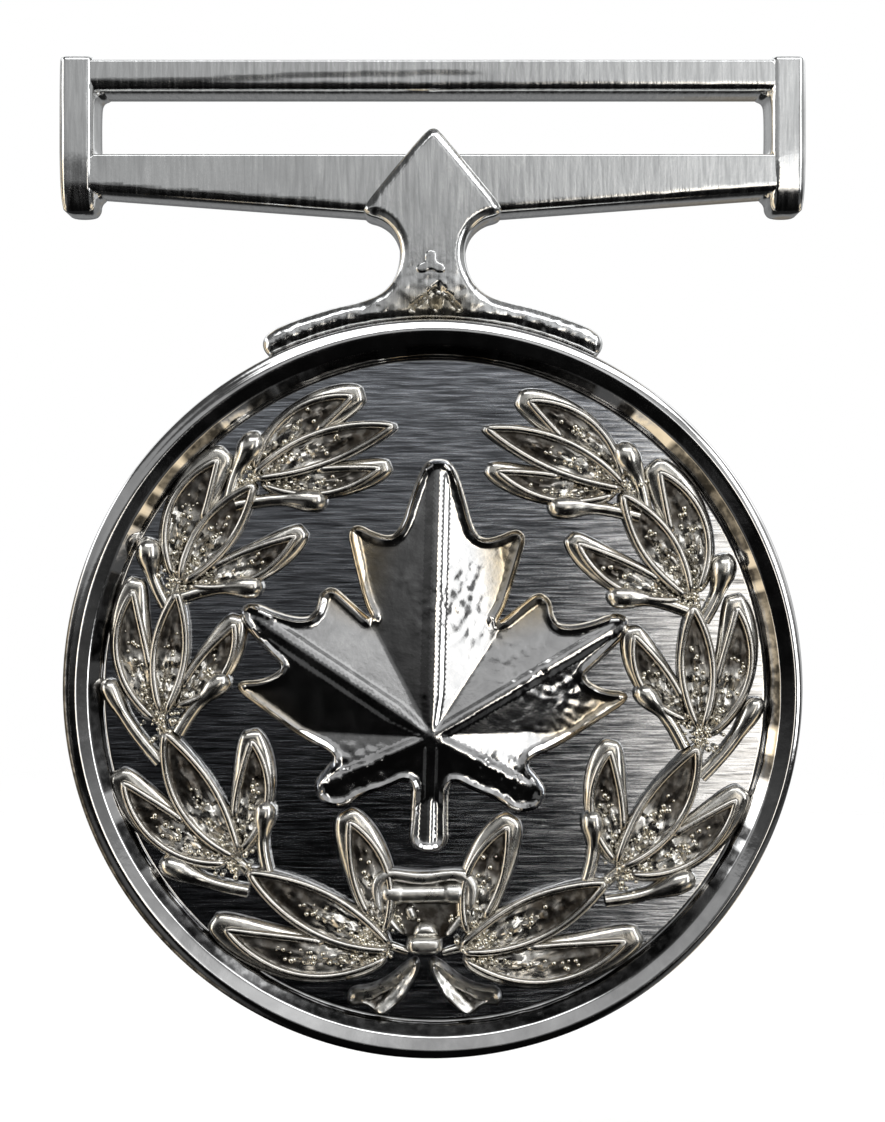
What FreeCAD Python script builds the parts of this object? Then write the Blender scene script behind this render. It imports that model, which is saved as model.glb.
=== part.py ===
"""A military service medal: a struck round disc hung from a slotted straight ribbon suspender.

The medal hangs in the XZ plane with its obverse towards -Y and +Z up. The origin is the middle of the
top bar's underside, where the loop of the ribbon bears. Sizes are in millimetres.

The disc carries a raised rim on both sides. On the obverse a ridged maple leaf stands in a laurel wreath
tied with a bow. A saddle-shaped claw sits on the disc's edge, located by a peg and soldered. The claw's
neck ends in a lozenge, which laps over the lower bar. The two bars end in tenons, brazed into two posts.
"""
import FreeCAD
import Part
import math
import os
from FreeCAD import Vector

# ---------------------------------------------------------------- driving dimensions: the disc
disc_diameter = 36.0
disc_thickness = 3.0
edge_radius = 0.45        # the rim's outer shoulder
crest_radius = 0.22       # the rim's inner shoulder
rim_width = 0.95          # from the edge to the top of the inner slope
rim_slope_width = 0.65    # the inner slope, down to the field
front_recess = 0.90
back_recess = 0.55

# ---------------------------------------------------------------- driving dimensions: the relief
plate_height = 0.48       # maple leaf, from the field to its edge
ridge_height = 0.34       # the leaf's ridges, above its plate
side_leaf_height = 0.56   # laurel leaves that lie behind
mid_leaf_height = 0.74    # laurel leaves that lie in front
bud_height = 0.50
twig_height = 0.34
twig_width = 0.70
bow_height = 0.62
knot_height = 0.80
relief_turn = 1.6         # degrees clockwise: the obverse die sat this far round

# ---------------------------------------------------------------- driving dimensions: the suspender
ribbon_width = 32.0
ribbon_clearance = 0.50   # at each side of the ribbon
slot_height = 3.10
bar_edge_radius = 0.30
top_bar_height = 1.50
lower_bar_end_height = 1.95
lower_bar_middle_height = 2.90
post_width = 1.70
post_depth = 2.60
post_edge_radius = 0.36
post_over_top = 0.20      # the post's ends stand past the bars
post_under_bottom = 0.85
tenon_length = 1.10
tenon_height = 0.90
tenon_depth = 0.90
braze_gap = 0.03

# ---------------------------------------------------------------- driving dimensions: the claw
claw_depth = 2.80
saddle_thickness = 1.20
saddle_half_angle = 26.3  # degrees, each side of the neck
neck_width = 3.10
neck_length = 5.37        # from the lozenge's corners to the disc's edge
neck_foot_radius = 2.30   # where the neck spreads into the saddle
neck_top_radius = 1.30    # where it spreads into the lozenge
lozenge_width = 6.60
lozenge_rise = 4.10       # from its corners to its tip
lozenge_tip_radius = 0.55
lozenge_cover = 0.35      # metal left in front of the lower bar
claw_edge_radius = 0.25
arm_end_radius = 0.55
pit_width = 1.90          # the wedge-shaped pit at the foot of the neck
pit_height = 1.30
pit_depth = 0.50
peg_diameter = 1.00
peg_in_disc = 1.20
peg_in_claw = 1.60
peg_clearance = 0.02
mark_height = 0.16        # the small trefoil on the neck
mark_lobe_radius = 0.34

# ---------------------------------------------------------------- sizes that follow
disc_radius = disc_diameter / 2
crest_y = disc_thickness / 2
crest_inner_radius = disc_radius - rim_width
field_radius = crest_inner_radius - rim_slope_width
front_field_y = -crest_y + front_recess
back_field_y = crest_y - back_recess

slot_width = ribbon_width + 2 * ribbon_clearance
lower_bar_top_z = -slot_height
lozenge_corner_z = lower_bar_top_z - lower_bar_middle_height + 0.25
disc_top_z = lozenge_corner_z - neck_length
disc_centre_z = disc_top_z - disc_radius

# the claw is centred on the disc's edge, and the bars lie flush with its back
claw_front_y, claw_back_y = -claw_depth / 2, claw_depth / 2
bar_front_y, bar_back_y = claw_front_y + lozenge_cover, claw_back_y
bar_middle_y = (bar_back_y + bar_front_y) / 2

# the relief is laid out for a field of this radius, and grows with the real one
LAYOUT_FIELD_RADIUS = 16.4
relief_scale = field_radius / LAYOUT_FIELD_RADIUS


# ---------------------------------------------------------------- helpers
def rounded_wire(corners, y):
    """A closed wire at this y through corners (x, z, radius), each rounded by its own radius."""
    points = [Vector(x, y, z) for x, z, _ in corners]
    starts, ends, middles = [], [], []
    for i, (_, _, radius) in enumerate(corners):
        here = points[i]
        back = (points[i - 1] - here).normalize()
        ahead = (points[(i + 1) % len(points)] - here).normalize()
        half = back.getAngle(ahead) / 2
        reach = radius / math.tan(half)
        bisector = (back + ahead).normalize()
        starts.append(here + back * reach)
        ends.append(here + ahead * reach)
        middles.append(here + bisector * (radius / math.sin(half) - radius))
    edges = []
    for i, (_, _, radius) in enumerate(corners):
        if radius > 0:
            edges.append(Part.Arc(starts[i], middles[i], ends[i]).toShape())
        following = starts[(i + 1) % len(corners)]
        if (following - ends[i]).Length > 1e-6:
            edges.append(Part.makeLine(ends[i], following))
    return Part.Wire(edges)


def rounded_plate(corners, y_from, y_to):
    """The outline's plate between two depths."""
    face = Part.Face(rounded_wire(corners, y_from))
    return face.extrude(Vector(0, y_to - y_from, 0))


def box(x_from, x_to, y_from, y_to, z_from, z_to):
    corner = Vector(x_from, y_from, z_from)
    return Part.makeBox(x_to - x_from, y_to - y_from, z_to - z_from, corner)


def fused(shapes):
    whole = shapes[0].multiFuse(shapes[1:]) if len(shapes) > 1 else shapes[0]
    return whole.removeSplitter()


def mirrored(shape):
    return shape.mirror(Vector(0, 0, 0), Vector(1, 0, 0))


def on_field(x, z, lift=0.0):
    """A point of the relief's layout, measured from the disc's centre, at this height over the field."""
    return Vector(x * relief_scale, front_field_y - lift, disc_centre_z + z * relief_scale)


def relief_corners(points):
    """Layout corners (x, z, radius) as corners of the real relief."""
    return [
        (x * relief_scale, disc_centre_z + z * relief_scale, radius * relief_scale)
        for x, z, radius in points
    ]


def relief_plate(points, height):
    return rounded_plate(relief_corners(points), front_field_y, front_field_y - height)


def as_struck(shape):
    """The relief turned about the disc's centre, as the die left it."""
    shape.rotate(Vector(0, 0, disc_centre_z), Vector(0, 1, 0), relief_turn)
    return shape


# ---------------------------------------------------------------- the disc
def rim_corner(radius, y, way):
    """One face's rim, from the field to the edge, as edges of the turned profile; way is -1 in front."""
    slope_foot = Vector(field_radius, y, 0)
    top = way * crest_y
    slope = Vector(crest_inner_radius - field_radius, top - y, 0)
    slope.normalize()
    turn = math.acos(slope.x)
    reach = crest_radius * math.tan(turn / 2)
    shoulder = Vector(crest_inner_radius, top, 0)
    before = shoulder - slope * reach
    after = shoulder + Vector(reach, 0, 0)
    centre = after - Vector(0, way * crest_radius, 0)
    outward = ((before - centre) + (after - centre)).normalize()
    middle = centre + outward * crest_radius
    edge_start = Vector(radius - edge_radius, top, 0)
    edge_end = Vector(radius, top - way * edge_radius, 0)
    diagonal = edge_radius * math.sqrt(0.5)
    edge_middle = Vector(
        radius - edge_radius + diagonal, top - way * (edge_radius - diagonal), 0
    )
    return [
        Part.makeLine(Vector(0, y, 0), slope_foot),
        Part.makeLine(slope_foot, before),
        Part.Arc(before, middle, after).toShape(),
        Part.makeLine(after, edge_start),
        Part.Arc(edge_start, edge_middle, edge_end).toShape(),
    ]


def medal_disc():
    front = rim_corner(disc_radius, front_field_y, -1)
    back = rim_corner(disc_radius, back_field_y, 1)
    side = Part.makeLine(
        Vector(disc_radius, -crest_y + edge_radius, 0),
        Vector(disc_radius, crest_y - edge_radius, 0),
    )
    axis = Part.makeLine(Vector(0, back_field_y, 0), Vector(0, front_field_y, 0))
    profile = Part.Wire(Part.__sortEdges__(front + [side] + back + [axis]))
    disc = Part.Face(profile).revolve(Vector(0, 0, 0), Vector(0, 1, 0), 360)
    disc.translate(Vector(0, 0, disc_centre_z))
    hole = Part.makeCylinder(
        peg_diameter / 2 + peg_clearance,
        peg_in_disc + disc_radius,
        Vector(0, 0, disc_top_z - peg_in_disc),
        Vector(0, 0, 1),
    )
    return disc.cut(hole)


# ---------------------------------------------------------------- the maple leaf
# Half of the leaf's outline, from the tip down to the stalk, as (x, z, corner radius).
HALF_LEAF = [
    (1.25, 9.30, 1.60),
    (2.05, 7.30, 0.55),
    (4.15, 8.00, 0.45),
    (3.60, 5.20, 2.00),
    (2.75, 2.85, 0.20),
    (5.10, 4.95, 0.42),
    (5.85, 3.10, 0.55),
    (9.45, 4.00, 0.30),
    (7.00, 1.05, 0.25),
    (9.60, -0.25, 0.25),
    (4.90, -3.35, 0.25),
    (5.85, -4.75, 0.40),
    (4.60, -5.75, 0.35),
    (0.85, -4.10, 0.25),
    (1.05, -7.95, 0.20),
]
LEAF_TIP = (0.0, 11.75, 0.60)
LEAF_HEART = (0.0, -2.2)
# Each ridge runs from the heart to here; the last number is its half width at the heart.
LEAF_RIDGES = [
    (0.0, 10.3, 1.8),
    (8.7, 3.45, 1.5),
    (-8.7, 3.45, 1.5),
    (5.1, -4.75, 1.0),
    (-5.1, -4.75, 1.0),
    (0.0, -7.4, 0.7),
]


def leaf_ridge(x, z, half_width):
    """A long low roof from the heart to (x, z), over the leaf's plate."""
    foot, top = plate_height - 0.05, plate_height + ridge_height
    along = Vector(x - LEAF_HEART[0], 0, z - LEAF_HEART[1])
    along.normalize()
    across = Vector(along.z, 0, -along.x)

    def section(px, pz, half, rise):
        return Part.makePolygon(
            [
                on_field(px - across.x * half, pz - across.z * half, foot),
                on_field(px, pz, rise),
                on_field(px + across.x * half, pz + across.z * half, foot),
                on_field(px - across.x * half, pz - across.z * half, foot),
            ]
        )

    near = section(*LEAF_HEART, half_width, top)
    far = section(x, z, half_width * 0.3, plate_height + 0.08)
    return Part.makeLoft([near, far], True, True)


def maple_leaf():
    left = [(-x, z, radius) for x, z, radius in reversed(HALF_LEAF)]
    plate = relief_plate([LEAF_TIP] + HALF_LEAF + left, plate_height)
    ridges = [leaf_ridge(*ridge) for ridge in LEAF_RIDGES]
    return fused([plate] + ridges)


# ---------------------------------------------------------------- the laurel wreath, left branch
TWIG_RADIUS = 13.2        # the twig's circle in the layout
TWIG_FROM, TWIG_TO = 10.0, 142.0     # degrees from the bottom, turning to the left

# Laurel leaves as (base x, base z, tip x, tip z, width, in front of its neighbours).
LAUREL = [
    (-1.75, -12.75, -9.10, -8.90, 2.35, True),
    (-2.30, -13.15, -10.75, -11.20, 2.10, False),
    (-2.55, -11.90, -4.35, -6.10, 2.30, False),
    (-9.90, -7.90, -13.25, -2.05, 2.35, True),
    (-9.60, -7.60, -8.95, -2.20, 2.20, False),
    (-10.50, -8.10, -15.20, -3.55, 2.20, False),
    (-13.30, -1.10, -12.45, 4.75, 2.10, True),
    (-13.70, -0.90, -14.65, 5.30, 2.10, False),
    (-12.90, -0.80, -9.85, 3.75, 1.80, False),
    (-12.30, 5.20, -8.85, 9.85, 2.05, True),
    (-12.60, 5.70, -10.70, 11.50, 2.30, False),
    (-11.80, 5.35, -6.40, 7.85, 1.90, False),
    (-8.30, 10.30, -1.55, 12.60, 2.00, True),
    (-7.90, 11.00, -3.20, 14.50, 1.95, False),
    (-7.40, 10.20, -1.75, 10.55, 1.70, False),
]
# Flower buds on their stalks as (stalk foot x, z, bud tip x, z, bud width).
BUDS = [
    (-8.35, -9.60, -8.10, -5.65, 1.00),
    (-8.60, -9.75, -12.90, -8.40, 1.00),
    (-12.80, -2.50, -10.35, 0.35, 1.05),
    (-13.10, -3.30, -15.95, 0.15, 0.85),
    (-12.10, 4.40, -8.75, 4.85, 1.00),
    (-12.90, 4.60, -13.90, 6.95, 1.10),
    (-9.20, 8.90, -5.30, 9.15, 1.00),
    (-8.90, 9.90, -8.95, 12.00, 1.15),
]


def laurel_leaf(base_x, base_z, tip_x, tip_z, width, in_front):
    """A leaf bounded by two arcs that meet at its base and its tip."""
    height = mid_leaf_height if in_front else side_leaf_height
    base, tip = on_field(base_x, base_z), on_field(tip_x, tip_z)
    along = (tip - base).normalize()
    across = Vector(along.z, 0, -along.x) * (width / 2 * relief_scale)
    middle = (base + tip) / 2
    edges = [
        Part.Arc(base, middle + across, tip).toShape(),
        Part.Arc(tip, middle - across, base).toShape(),
    ]
    return Part.Face(Part.Wire(edges)).extrude(Vector(0, -height, 0))


def laurel_bud(foot_x, foot_z, tip_x, tip_z, width):
    """A stalk that widens into a round-ended bud."""
    reach = math.hypot(tip_x - foot_x, tip_z - foot_z)
    along_x, along_z = (tip_x - foot_x) / reach, (tip_z - foot_z) / reach
    half = width / 2
    shape = []
    for share, side in ((0.0, -0.55), (1.0, -1.0), (1.0, 1.0), (0.0, 0.55)):
        x = foot_x + along_x * reach * share + along_z * half * side
        z = foot_z + along_z * reach * share - along_x * half * side
        shape.append((x, z, half * 0.85 if share == 1.0 else 0.0))
    return relief_plate(shape, bud_height)


def twig():
    """The branch's twig: a flat band along its circle."""
    half = twig_width / 2

    def at(radius, degrees):
        turn = math.radians(degrees)
        return on_field(-radius * math.sin(turn), -radius * math.cos(turn))

    middle = (TWIG_FROM + TWIG_TO) / 2
    outer, inner = TWIG_RADIUS + half, TWIG_RADIUS - half
    edges = [
        Part.Arc(at(outer, TWIG_FROM), at(outer, middle), at(outer, TWIG_TO)).toShape(),
        Part.makeLine(at(outer, TWIG_TO), at(inner, TWIG_TO)),
        Part.Arc(at(inner, TWIG_TO), at(inner, middle), at(inner, TWIG_FROM)).toShape(),
        Part.makeLine(at(inner, TWIG_FROM), at(outer, TWIG_FROM)),
    ]
    return Part.Face(Part.Wire(edges)).extrude(Vector(0, -twig_height, 0))


def wreath_branch(bow):
    """The left branch, stopping where the bow lies over it."""
    leaves = [laurel_leaf(*leaf) for leaf in LAUREL]
    buds = [laurel_bud(*bud) for bud in BUDS]
    return fused([twig()] + leaves + buds).cut(bow)


# ---------------------------------------------------------------- the bow that ties the wreath
BOW_LOOPS = [
    (-2.55, -8.95, 0.60),
    (2.55, -8.95, 0.60),
    (2.45, -10.40, 0.55),
    (1.10, -10.60, 0.30),
    (0.95, -11.90, 0.10),
    (-0.95, -11.90, 0.10),
    (-1.10, -10.60, 0.30),
    (-2.45, -10.40, 0.55),
]
BOW_TAIL = [
    (-0.55, -13.20, 0.10),
    (-1.25, -13.35, 0.30),
    (-2.30, -14.40, 0.80),
    (-4.20, -14.70, 0.25),
    (-3.70, -15.35, 0.10),
    (-2.70, -15.85, 0.20),
    (-1.50, -15.00, 0.60),
]
KNOT = [
    (-0.95, -11.90, 0.45),
    (0.95, -11.90, 0.45),
    (0.95, -13.35, 0.45),
    (-0.95, -13.35, 0.45),
]


def wreath_bow():
    right_tail = [(-x, z, radius) for x, z, radius in reversed(BOW_TAIL)]
    return fused(
        [
            relief_plate(BOW_LOOPS, bow_height),
            relief_plate(BOW_TAIL, bow_height),
            relief_plate(right_tail, bow_height),
            relief_plate(KNOT, knot_height),
        ]
    )


# ---------------------------------------------------------------- the suspender
def across_edges(shape, y):
    """The edges that lie in the plane at this y."""
    return [
        edge
        for edge in shape.Edges
        if abs(edge.BoundBox.YMin - y) < 1e-6 and abs(edge.BoundBox.YMax - y) < 1e-6
    ]


def rounded_faces(shape, radius, *depths):
    """The shape with the edges at these depths rounded."""
    edges = [edge for y in depths for edge in across_edges(shape, y)]
    return shape.makeFillet(radius, edges)


def tenons(z_middle):
    """The bar's two tenons, one into each post."""
    half_slot = slot_width / 2
    sides = ((-half_slot - tenon_length, -half_slot), (half_slot, half_slot + tenon_length))
    return [
        box(
            x_from,
            x_to,
            bar_middle_y - tenon_depth / 2,
            bar_middle_y + tenon_depth / 2,
            z_middle - tenon_height / 2,
            z_middle + tenon_height / 2,
        )
        for x_from, x_to in sides
    ]


top_tenon_z = top_bar_height / 2
lower_tenon_z = lower_bar_top_z - lower_bar_end_height / 2


def top_bar():
    half = slot_width / 2
    body = box(-half, half, bar_front_y, bar_back_y, 0, top_bar_height)
    long_edges = [
        edge for edge in body.Edges if edge.BoundBox.XLength > half and edge.BoundBox.YMax < 0
    ]
    return fused([body.makeFillet(bar_edge_radius, long_edges)] + tenons(top_tenon_z))


def lower_bar_corners():
    half = slot_width / 2
    end_z = lower_bar_top_z - lower_bar_end_height
    middle_z = lower_bar_top_z - lower_bar_middle_height
    shoulder = lozenge_width / 2
    return [
        (-half, lower_bar_top_z, 0),
        (-half, end_z, 0),
        (-shoulder, middle_z, 0),
        (shoulder, middle_z, 0),
        (half, end_z, 0),
        (half, lower_bar_top_z, 0),
    ]


def lower_bar():
    body = rounded_plate(lower_bar_corners(), bar_back_y, bar_front_y)
    under = [
        edge
        for edge in across_edges(body, bar_front_y)
        if edge.BoundBox.XLength > lozenge_width and edge.BoundBox.ZMax < lower_bar_top_z - 0.1
    ]
    return fused([body.makeFillet(bar_edge_radius, under)] + tenons(lower_tenon_z))


def end_post():
    """The right-hand post, with a blind socket for each bar's tenon."""
    inner = slot_width / 2
    body = box(
        inner,
        inner + post_width,
        bar_middle_y - post_depth / 2,
        bar_middle_y + post_depth / 2,
        lower_bar_top_z - lower_bar_end_height - post_under_bottom,
        top_bar_height + post_over_top,
    )
    body = body.makeFillet(post_edge_radius, body.Edges)
    for z in (top_tenon_z, lower_tenon_z):
        body = body.cut(
            box(
                inner - post_edge_radius,
                inner + tenon_length + braze_gap,
                bar_middle_y - tenon_depth / 2 - braze_gap,
                bar_middle_y + tenon_depth / 2 + braze_gap,
                z - tenon_height / 2 - braze_gap,
                z + tenon_height / 2 + braze_gap,
            )
        )
    return body


# ---------------------------------------------------------------- the claw
saddle_outer_radius = disc_radius + saddle_thickness


def saddle():
    """The arc-shaped pad that sits on the disc's edge, before its inside is cut to the disc."""
    turn = math.radians(saddle_half_angle)
    inner, outer = disc_radius - 1.0, saddle_outer_radius

    def at(radius, angle):
        return Vector(
            radius * math.sin(angle), claw_front_y, disc_centre_z + radius * math.cos(angle)
        )

    edges = [
        Part.Arc(at(outer, -turn), at(outer, 0), at(outer, turn)).toShape(),
        Part.makeLine(at(outer, turn), at(inner, turn)),
        Part.Arc(at(inner, turn), at(inner, 0), at(inner, -turn)).toShape(),
        Part.makeLine(at(inner, -turn), at(outer, -turn)),
    ]
    return Part.Face(Part.Wire(edges)).extrude(Vector(0, claw_depth, 0))


def claw_blank():
    """Saddle, neck and lozenge in one, with the corners in plan rounded."""
    half_neck = neck_width / 2
    half_lozenge = lozenge_width / 2
    root_z = disc_top_z - 0.9
    corners = [
        (0, lozenge_corner_z + lozenge_rise, lozenge_tip_radius),
        (half_lozenge, lozenge_corner_z, 0.15),
        (half_neck, lozenge_corner_z - 0.95, neck_top_radius),
        (half_neck, root_z, 0),
        (-half_neck, root_z, 0),
        (-half_neck, lozenge_corner_z - 0.95, neck_top_radius),
        (-half_lozenge, lozenge_corner_z, 0.15),
    ]
    body = fused([saddle(), rounded_plate(corners, claw_front_y, claw_back_y)])
    foot_edges, end_edges = [], []
    for edge in body.Edges:
        bounds = edge.BoundBox
        if bounds.YLength < claw_depth / 2 or bounds.XLength > 1e-6:
            continue
        x, radius = abs(bounds.Center.x), math.hypot(
            bounds.Center.x, bounds.Center.z - disc_centre_z
        )
        if abs(radius - saddle_outer_radius) < 1e-3:
            (foot_edges if x < half_neck + 1e-3 else end_edges).append(edge)
    body = body.makeFillet(neck_foot_radius, foot_edges)
    end_edges = [
        edge
        for edge in body.Edges
        for end in end_edges
        if edge.BoundBox.Center.distanceToPoint(end.BoundBox.Center) < 1e-3
        and edge.BoundBox.YLength > claw_depth / 2
    ]
    return body.makeFillet(arm_end_radius, end_edges)


def claw():
    body = claw_blank()
    body = rounded_faces(body, claw_edge_radius, claw_front_y)
    body = body.cut(
        Part.makeCylinder(
            disc_radius,
            2 * claw_depth,
            Vector(0, -claw_depth, disc_centre_z),
            Vector(0, 1, 0),
        )
    )
    body = body.cut(rounded_plate(lower_bar_corners(), bar_front_y, claw_back_y + 1.0))
    pit = rounded_plate(
        [
            (0, disc_top_z + pit_height, 0.15),
            (pit_width / 2, disc_top_z - 0.2, 0),
            (-pit_width / 2, disc_top_z - 0.2, 0),
        ],
        claw_front_y - 0.5,
        claw_front_y + pit_depth,
    )
    hole = Part.makeCylinder(
        peg_diameter / 2 + peg_clearance,
        peg_in_claw + 1.0,
        Vector(0, 0, disc_top_z - 1.0),
        Vector(0, 0, 1),
    )
    return body.cut(pit).cut(hole)


def claw_mark():
    """Three round lobes on a short stalk."""
    z = disc_top_z + neck_length * 0.49
    spread = mark_lobe_radius * 1.15
    lobes = [
        Part.makeCylinder(
            mark_lobe_radius,
            mark_height,
            Vector(spread * dx, claw_front_y - mark_height, z + spread * dz),
            Vector(0, 1, 0),
        )
        for dx, dz in ((0.0, 0.95), (-0.95, -0.1), (0.95, -0.1))
    ]
    stalk = box(-0.1, 0.1, claw_front_y - mark_height, claw_front_y, z - 0.55, z + 0.3)
    return fused(lobes + [stalk])


def claw_peg():
    return Part.makeCylinder(
        peg_diameter / 2,
        peg_in_disc + peg_in_claw - 2 * braze_gap,
        Vector(0, 0, disc_top_z - peg_in_disc + braze_gap),
        Vector(0, 0, 1),
    )


# ---------------------------------------------------------------- the parts
def main():
    os.makedirs("parts", exist_ok=True)
    bow = wreath_bow()
    branch = wreath_branch(bow)
    post = end_post()
    nodes = {
        "medal_disc": medal_disc(),
        "maple_leaf": as_struck(maple_leaf()),
        "wreath_branch_right": as_struck(mirrored(branch)),
        "wreath_branch_left": as_struck(branch),
        "wreath_bow": as_struck(bow),
        "claw": claw(),
        "claw_mark": claw_mark(),
        "claw_peg": claw_peg(),
        "top_bar": top_bar(),
        "lower_bar": lower_bar(),
        "end_post_right": post,
        "end_post_left": mirrored(post),
    }
    for name, shape in nodes.items():
        shape.exportStep("parts/" + name + ".step")
        print(name, len(shape.Solids), "solids", round(shape.Volume, 2), "mm3", shape.isValid())


main()
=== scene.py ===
import math

import bpy
import numpy as np
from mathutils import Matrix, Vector
from mathutils.geometry import delaunay_2d_cdt


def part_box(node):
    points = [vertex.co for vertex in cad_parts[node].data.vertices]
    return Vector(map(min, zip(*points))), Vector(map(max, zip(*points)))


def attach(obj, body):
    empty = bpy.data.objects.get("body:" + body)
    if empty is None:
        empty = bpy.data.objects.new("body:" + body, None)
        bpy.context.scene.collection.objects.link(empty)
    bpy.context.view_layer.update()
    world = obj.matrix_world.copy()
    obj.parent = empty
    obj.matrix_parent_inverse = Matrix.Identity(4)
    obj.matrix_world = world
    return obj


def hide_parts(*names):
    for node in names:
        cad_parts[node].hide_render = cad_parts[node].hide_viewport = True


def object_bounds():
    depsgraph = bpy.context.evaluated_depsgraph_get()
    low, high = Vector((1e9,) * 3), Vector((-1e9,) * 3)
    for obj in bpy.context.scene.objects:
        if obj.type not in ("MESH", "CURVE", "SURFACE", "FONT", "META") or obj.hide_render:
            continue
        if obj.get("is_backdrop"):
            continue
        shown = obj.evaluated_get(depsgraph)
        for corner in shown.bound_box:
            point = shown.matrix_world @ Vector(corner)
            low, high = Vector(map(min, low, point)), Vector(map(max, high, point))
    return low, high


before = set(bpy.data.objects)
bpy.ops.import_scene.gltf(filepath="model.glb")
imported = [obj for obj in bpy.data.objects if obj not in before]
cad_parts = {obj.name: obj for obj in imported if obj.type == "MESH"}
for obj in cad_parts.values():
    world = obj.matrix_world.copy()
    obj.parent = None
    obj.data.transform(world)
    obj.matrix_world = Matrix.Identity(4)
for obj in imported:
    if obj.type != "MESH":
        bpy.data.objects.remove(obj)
cad_low, cad_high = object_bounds()

# =============================================================== the disc
# A round blank of copper-nickel, struck between two dies in a collar and then plated.
# The rim is rolled up on both faces; the obverse field was brushed straight across,
# and the steep step inside the rim keeps the ripples of the cut die.
MM = 0.001
disc_low, disc_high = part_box("medal_disc")
DISC_Z = (disc_low.z + disc_high.z) / 2 / MM
DISC_R = (disc_high.x - disc_low.x) / 2 / MM
FRONT, BACK = disc_low.y / MM, disc_high.y / MM
FIELD_Y = FRONT + 0.9
BACK_FIELD_Y = BACK - 0.55
DIE_TURN = math.radians(1.6)  # the obverse die sat this far round, clockwise


def mesh_of(name, verts, edges, faces):
    """A mesh from points in millimetres, measured from the disc's centre."""
    mesh = bpy.data.meshes.new(name)
    points = np.array(verts, float)
    points[:, 2] += DISC_Z
    mesh.from_pydata((points * MM).tolist(), edges, [list(f) for f in faces])
    return mesh


def added(name, data):
    """A new object in the scene, at the origin."""
    made = bpy.data.objects.new(name, data)
    bpy.context.scene.collection.objects.link(made)
    return made


def new_piece(name, verts, faces, *materials, sharp=35, face_material=None):
    """A smooth-shaded piece, sharp where its faces meet at more than this many degrees."""
    mesh = mesh_of(name, verts, [], faces)
    for material in materials:
        mesh.materials.append(material)
    if face_material is not None:
        mesh.polygons.foreach_set("material_index", face_material)
    mesh.polygons.foreach_set("use_smooth", [True] * len(mesh.polygons))
    mesh.set_sharp_from_angle(angle=math.radians(sharp))
    mesh.validate()
    return added(name, mesh)


def settle(piece, slot, *nodes):
    """The piece rides on the medal and stands for the nodes, which are hidden. slot is not used."""
    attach(piece, "root")
    if nodes:
        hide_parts(*nodes)


def node(tree, kind, inputs=None, **settings):
    """A shader or geometry node with its settings and its inputs, linked or set."""
    made = tree.nodes.new(kind)
    for key, value in settings.items():
        setattr(made, key, value)
    for key, value in (inputs or {}).items():
        if isinstance(value, bpy.types.NodeSocket):
            tree.links.new(value, made.inputs[key])
        else:
            made.inputs[key].default_value = value
    return made


def math_node(tree, operation, a, b=None):
    inputs = {0: a} if b is None else {0: a, 1: b}
    return node(tree, "ShaderNodeMath", inputs, operation=operation).outputs[0]


def ramp_between(tree, value, low, high, to_low=0.0, to_high=1.0, smooth=True):
    labels = ("Value", "From Min", "From Max", "To Min", "To Max")
    inputs = dict(zip(labels, (value, low, high, to_low, to_high)))
    kind = "SMOOTHSTEP" if smooth else "LINEAR"
    return node(tree, "ShaderNodeMapRange", inputs, interpolation_type=kind).outputs[0]


def mixed(tree, factor, a, b, data_type="RGBA", **settings):
    inputs = {"Factor": factor, "A": a, "B": b}
    return node(tree, "ShaderNodeMix", inputs, data_type=data_type, **settings).outputs["Result"]


def plated_metal(name, colour, shade_colour, rough, grain, scratch, streak=(0.8, 1.12)):
    """Plated copper-nickel, smoother and rougher between the two values of rough.

    grain and scratch are bumps: how many per millimetre along x, y and z, and how deep.
    shade_colour is the colour of painted shade, shown where the mesh's painted shade attribute is high,
    in the hollows and low parts. streak is how dark and how light the scratches make the metal.
    """
    material = bpy.data.materials.new(name)
    material.use_nodes = True
    tree = material.node_tree
    shader = tree.nodes["Principled BSDF"]
    place = node(tree, "ShaderNodeTexCoord").outputs["Object"]

    def noise(per_mm, detail, distortion=0.0):
        scale = [v / MM for v in per_mm]
        scaled = node(tree, "ShaderNodeMapping", {"Vector": place, "Scale": scale}).outputs[0]
        inputs = {"Vector": scaled, "Scale": 1.0, "Detail": detail, "Distortion": distortion}
        return node(tree, "ShaderNodeTexNoise", inputs).outputs["Fac"]

    fine = noise(grain[:3], 3.0)
    lines = noise(scratch[:3], 4.0, 0.4)
    cloud = noise((0.28, 0.28, 0.28), 3.0)
    # painted shade: the colour goes towards shade_colour where the mesh's painted shade attribute is
    # high, unevenly
    painted_shade = node(tree, "ShaderNodeAttribute", attribute_name="painted_shade").outputs["Fac"]
    uneven = ramp_between(tree, noise((2.2, 2.2, 2.2), 3.0), 0.3, 0.62, 0.78)
    shade_here = math_node(tree, "MULTIPLY", painted_shade, uneven)
    shaded_colour = mixed(tree, shade_here, (*colour, 1), (*shade_colour, 1))
    dull_colour = (*[c * 0.62 for c in colour], 1)
    dulled = mixed(tree, ramp_between(tree, cloud, 0.35, 0.75, 0.0, 0.22), shaded_colour, dull_colour)
    shade = ramp_between(tree, lines, 0.25, 0.75, *streak, False)
    streaked = mixed(tree, 1.0, dulled, shade, blend_type="MULTIPLY")
    tree.links.new(streaked, shader.inputs["Base Color"])
    shader.inputs["Metallic"].default_value = 1.0
    rough_here = ramp_between(tree, lines, 0.3, 0.7, *rough, False)
    rougher = math_node(tree, "ADD", rough_here, math_node(tree, "MULTIPLY", shade_here, 0.12))
    tree.links.new(rougher, shader.inputs["Roughness"])
    inputs = {"Height": lines, "Strength": 1.0, "Distance": scratch[3] * MM}
    scratched = node(tree, "ShaderNodeBump", inputs).outputs[0]
    inputs = {"Height": fine, "Strength": 1.0, "Distance": grain[3] * MM, "Normal": scratched}
    tree.links.new(node(tree, "ShaderNodeBump", inputs).outputs[0], shader.inputs["Normal"])
    return material


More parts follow.
